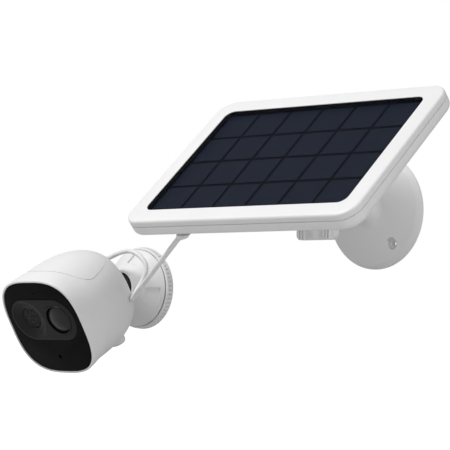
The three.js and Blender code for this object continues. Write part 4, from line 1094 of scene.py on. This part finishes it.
def add_cells():
    """A black backing sheet, and on it rows of silicon cells with rounded corners."""
    sheet = layered_slab("cell_backing_sheet", [(0.0, CELL_BACKING), (0.0, CELL_BACKING + 0.45)])
    finish_piece(sheet, "panel", CELL_BLACK, "cell_blue", "solar_cells")
    space, margin, corner = 2.3, 2.2, 1.2
    wide = (GLASS_LENGTH - 2 * margin - (CELL_COLUMNS - 1) * space) / CELL_COLUMNS
    tall = (GLASS_HEIGHT - 2 * margin - (CELL_ROWS - 1) * space) / CELL_ROWS
    points, faces = [], []
    for column in range(CELL_COLUMNS):
        for row in range(CELL_ROWS):
            cx = -GLASS_LENGTH / 2 + margin + wide / 2 + column * (wide + space)
            cy = -GLASS_HEIGHT / 2 + margin + tall / 2 + row * (tall + space)
            outline = rounded(wide, tall, corner, 3, (cx, cy))
            first = len(points)
            n = len(outline)
            for z in (CELL_BACKING + 0.5, CELL_BACKING + 0.78):
                points += [(x, y, z) for x, y in outline]
            faces.append(tuple(range(first, first + n)))
            faces.append(tuple(range(first + n, first + 2 * n)))
            for i in range(n):
                j = (i + 1) % n
                faces.append((first + i, first + j, first + n + j, first + n + i))
    cells = make("silicon_cells", points, faces, PANEL, 30)
    finish_piece(cells, "panel", SILICON, "cell_blue")


def add_gland():
    """The ribbed sleeve that the cable goes through, cut off level just behind the panel's back."""
    sleeve = lathe("panel_cable_gland", [
        (0, -12), (4.4, -12), (4.4, 2.2), (4.1, 3.2), (3.7, 3.6), (3.5, 4.4), (3.7, 4.8),
        (3.4, 6.0), (3.1, 6.3), (3.2, 7.0), (2.7, 10), (0, 10),
    ], PANEL, GLAND_AIM, GLAND_AT, 48)
    around = [(-95, -66), (0, -66), (0, -40), (-95, -40)]
    boolean(sleeve, [slab("behind", around, PANEL_BACK - 30, PANEL_BACK - GAP, PANEL)], "INTERSECT")
    boolean(sleeve, [rod("bore", CABLE_DIAMETER / 2 + GAP, -20, 20, GLAND_AIM, GLAND_AT, PANEL)])
    finish_piece(sleeve, "panel", CABLE_WHITE, "cable_white", "cable_gland")


add_bracket()
add_knob()
add_panel_stud()
add_panel()
add_gland()

# ---------- carried-over pieces ----------
CARRIED = {
    "wall_screw_upper": STEEL, "wall_screw_lower": STEEL, "ball_friction_cup": RUBBER,
    "stud_lock_nut": STEEL, "stud_insert": BRASS, "tripod_insert": BRASS, "rear_lens": GLASS,
    "pir_sensor": STEEL, "light_sensor": GLASS, "microphone": STEEL, "image_sensor": GLASS,
    "sensor_board": BOARD, "battery_cell_upper": WRAP, "battery_cell_lower": WRAP,
    "battery_tray": BLACK, "main_board": BOARD, "speaker": BLACK, "cover_deck": WHITE,
    "service_socket": STEEL, "reset_button": RUBBER, "panel_friction_cup": RUBBER,
    "knob_screw": STEEL, "panel_insert": BRASS, "charge_board": BOARD,
}
for node, material in CARRIED.items():
    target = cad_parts[node]
    target.data.materials.clear()
    target.data.materials.append(material)


# ---------- floor, light and backdrop ----------
FLOOR_HALF = 12.0
FLOOR_HEIGHT = -0.078


def seen_or_lit(tree, seen, lit):
    """A number that is one value where the backdrop is seen directly and another where it lights things."""
    path = tree.nodes.new("ShaderNodeLightPath")
    pick = tree.nodes.new("ShaderNodeMix")
    pick.inputs["A"].default_value = lit
    pick.inputs["B"].default_value = seen
    tree.links.new(path.outputs["Is Camera Ray"], pick.inputs["Factor"])
    return pick.outputs["Result"]


def add_stage():
    mesh = bpy.data.meshes.new("floor")
    corners = [(-1, -1), (1, -1), (1, 1), (-1, 1)]
    points = [(x * FLOOR_HALF, y * FLOOR_HALF, FLOOR_HEIGHT) for x, y in corners]
    mesh.from_pydata(points, [], [(0, 1, 2, 3)])
    floor = bpy.data.objects.new("floor", mesh)
    bpy.context.scene.collection.objects.link(floor)
    mat = bpy.data.materials.new("floor_paint")
    mat.use_nodes = True
    tree = mat.node_tree
    shader = tree.nodes["Principled BSDF"]
    shader.inputs["Base Color"].default_value = (0.55, 0.55, 0.55, 1)
    shader.inputs["Roughness"].default_value = 0.9
    shader.inputs["Specular IOR Level"].default_value = 0.1
    shader.inputs["Emission Color"].default_value = (1, 1, 1, 1)
    tree.links.new(seen_or_lit(tree, 0.85, 0.0), shader.inputs["Emission Strength"])
    floor.data.materials.append(mat)

    world = bpy.data.worlds.new("studio")
    bpy.context.scene.world = world
    world.use_nodes = True
    tree = world.node_tree
    sky = tree.nodes["Background"]
    sky.inputs["Color"].default_value = (1, 1, 1, 1)
    tree.links.new(seen_or_lit(tree, 1.0, 0.42), sky.inputs["Strength"])

    def lamp(name, place_at, target, size, power):
        data = bpy.data.lights.new(name, "AREA")
        data.shape = "SQUARE"
        data.size = size
        data.energy = power
        obj = bpy.data.objects.new(name, data)
        obj.location = place_at
        aim = Vector(target) - Vector(place_at)
        obj.rotation_euler = aim.to_track_quat("-Z", "Y").to_euler()
        bpy.context.scene.collection.objects.link(obj)

    lamp("key", (-0.35, -0.95, 1.45), (0.12, -0.05, 0.0), 0.6, 21.0)
    lamp("right", (1.7, -0.45, 0.3), (0.1, -0.1, 0.0), 0.8, 5.0)


add_stage()
bpy.context.scene.view_settings.view_transform = "Standard"
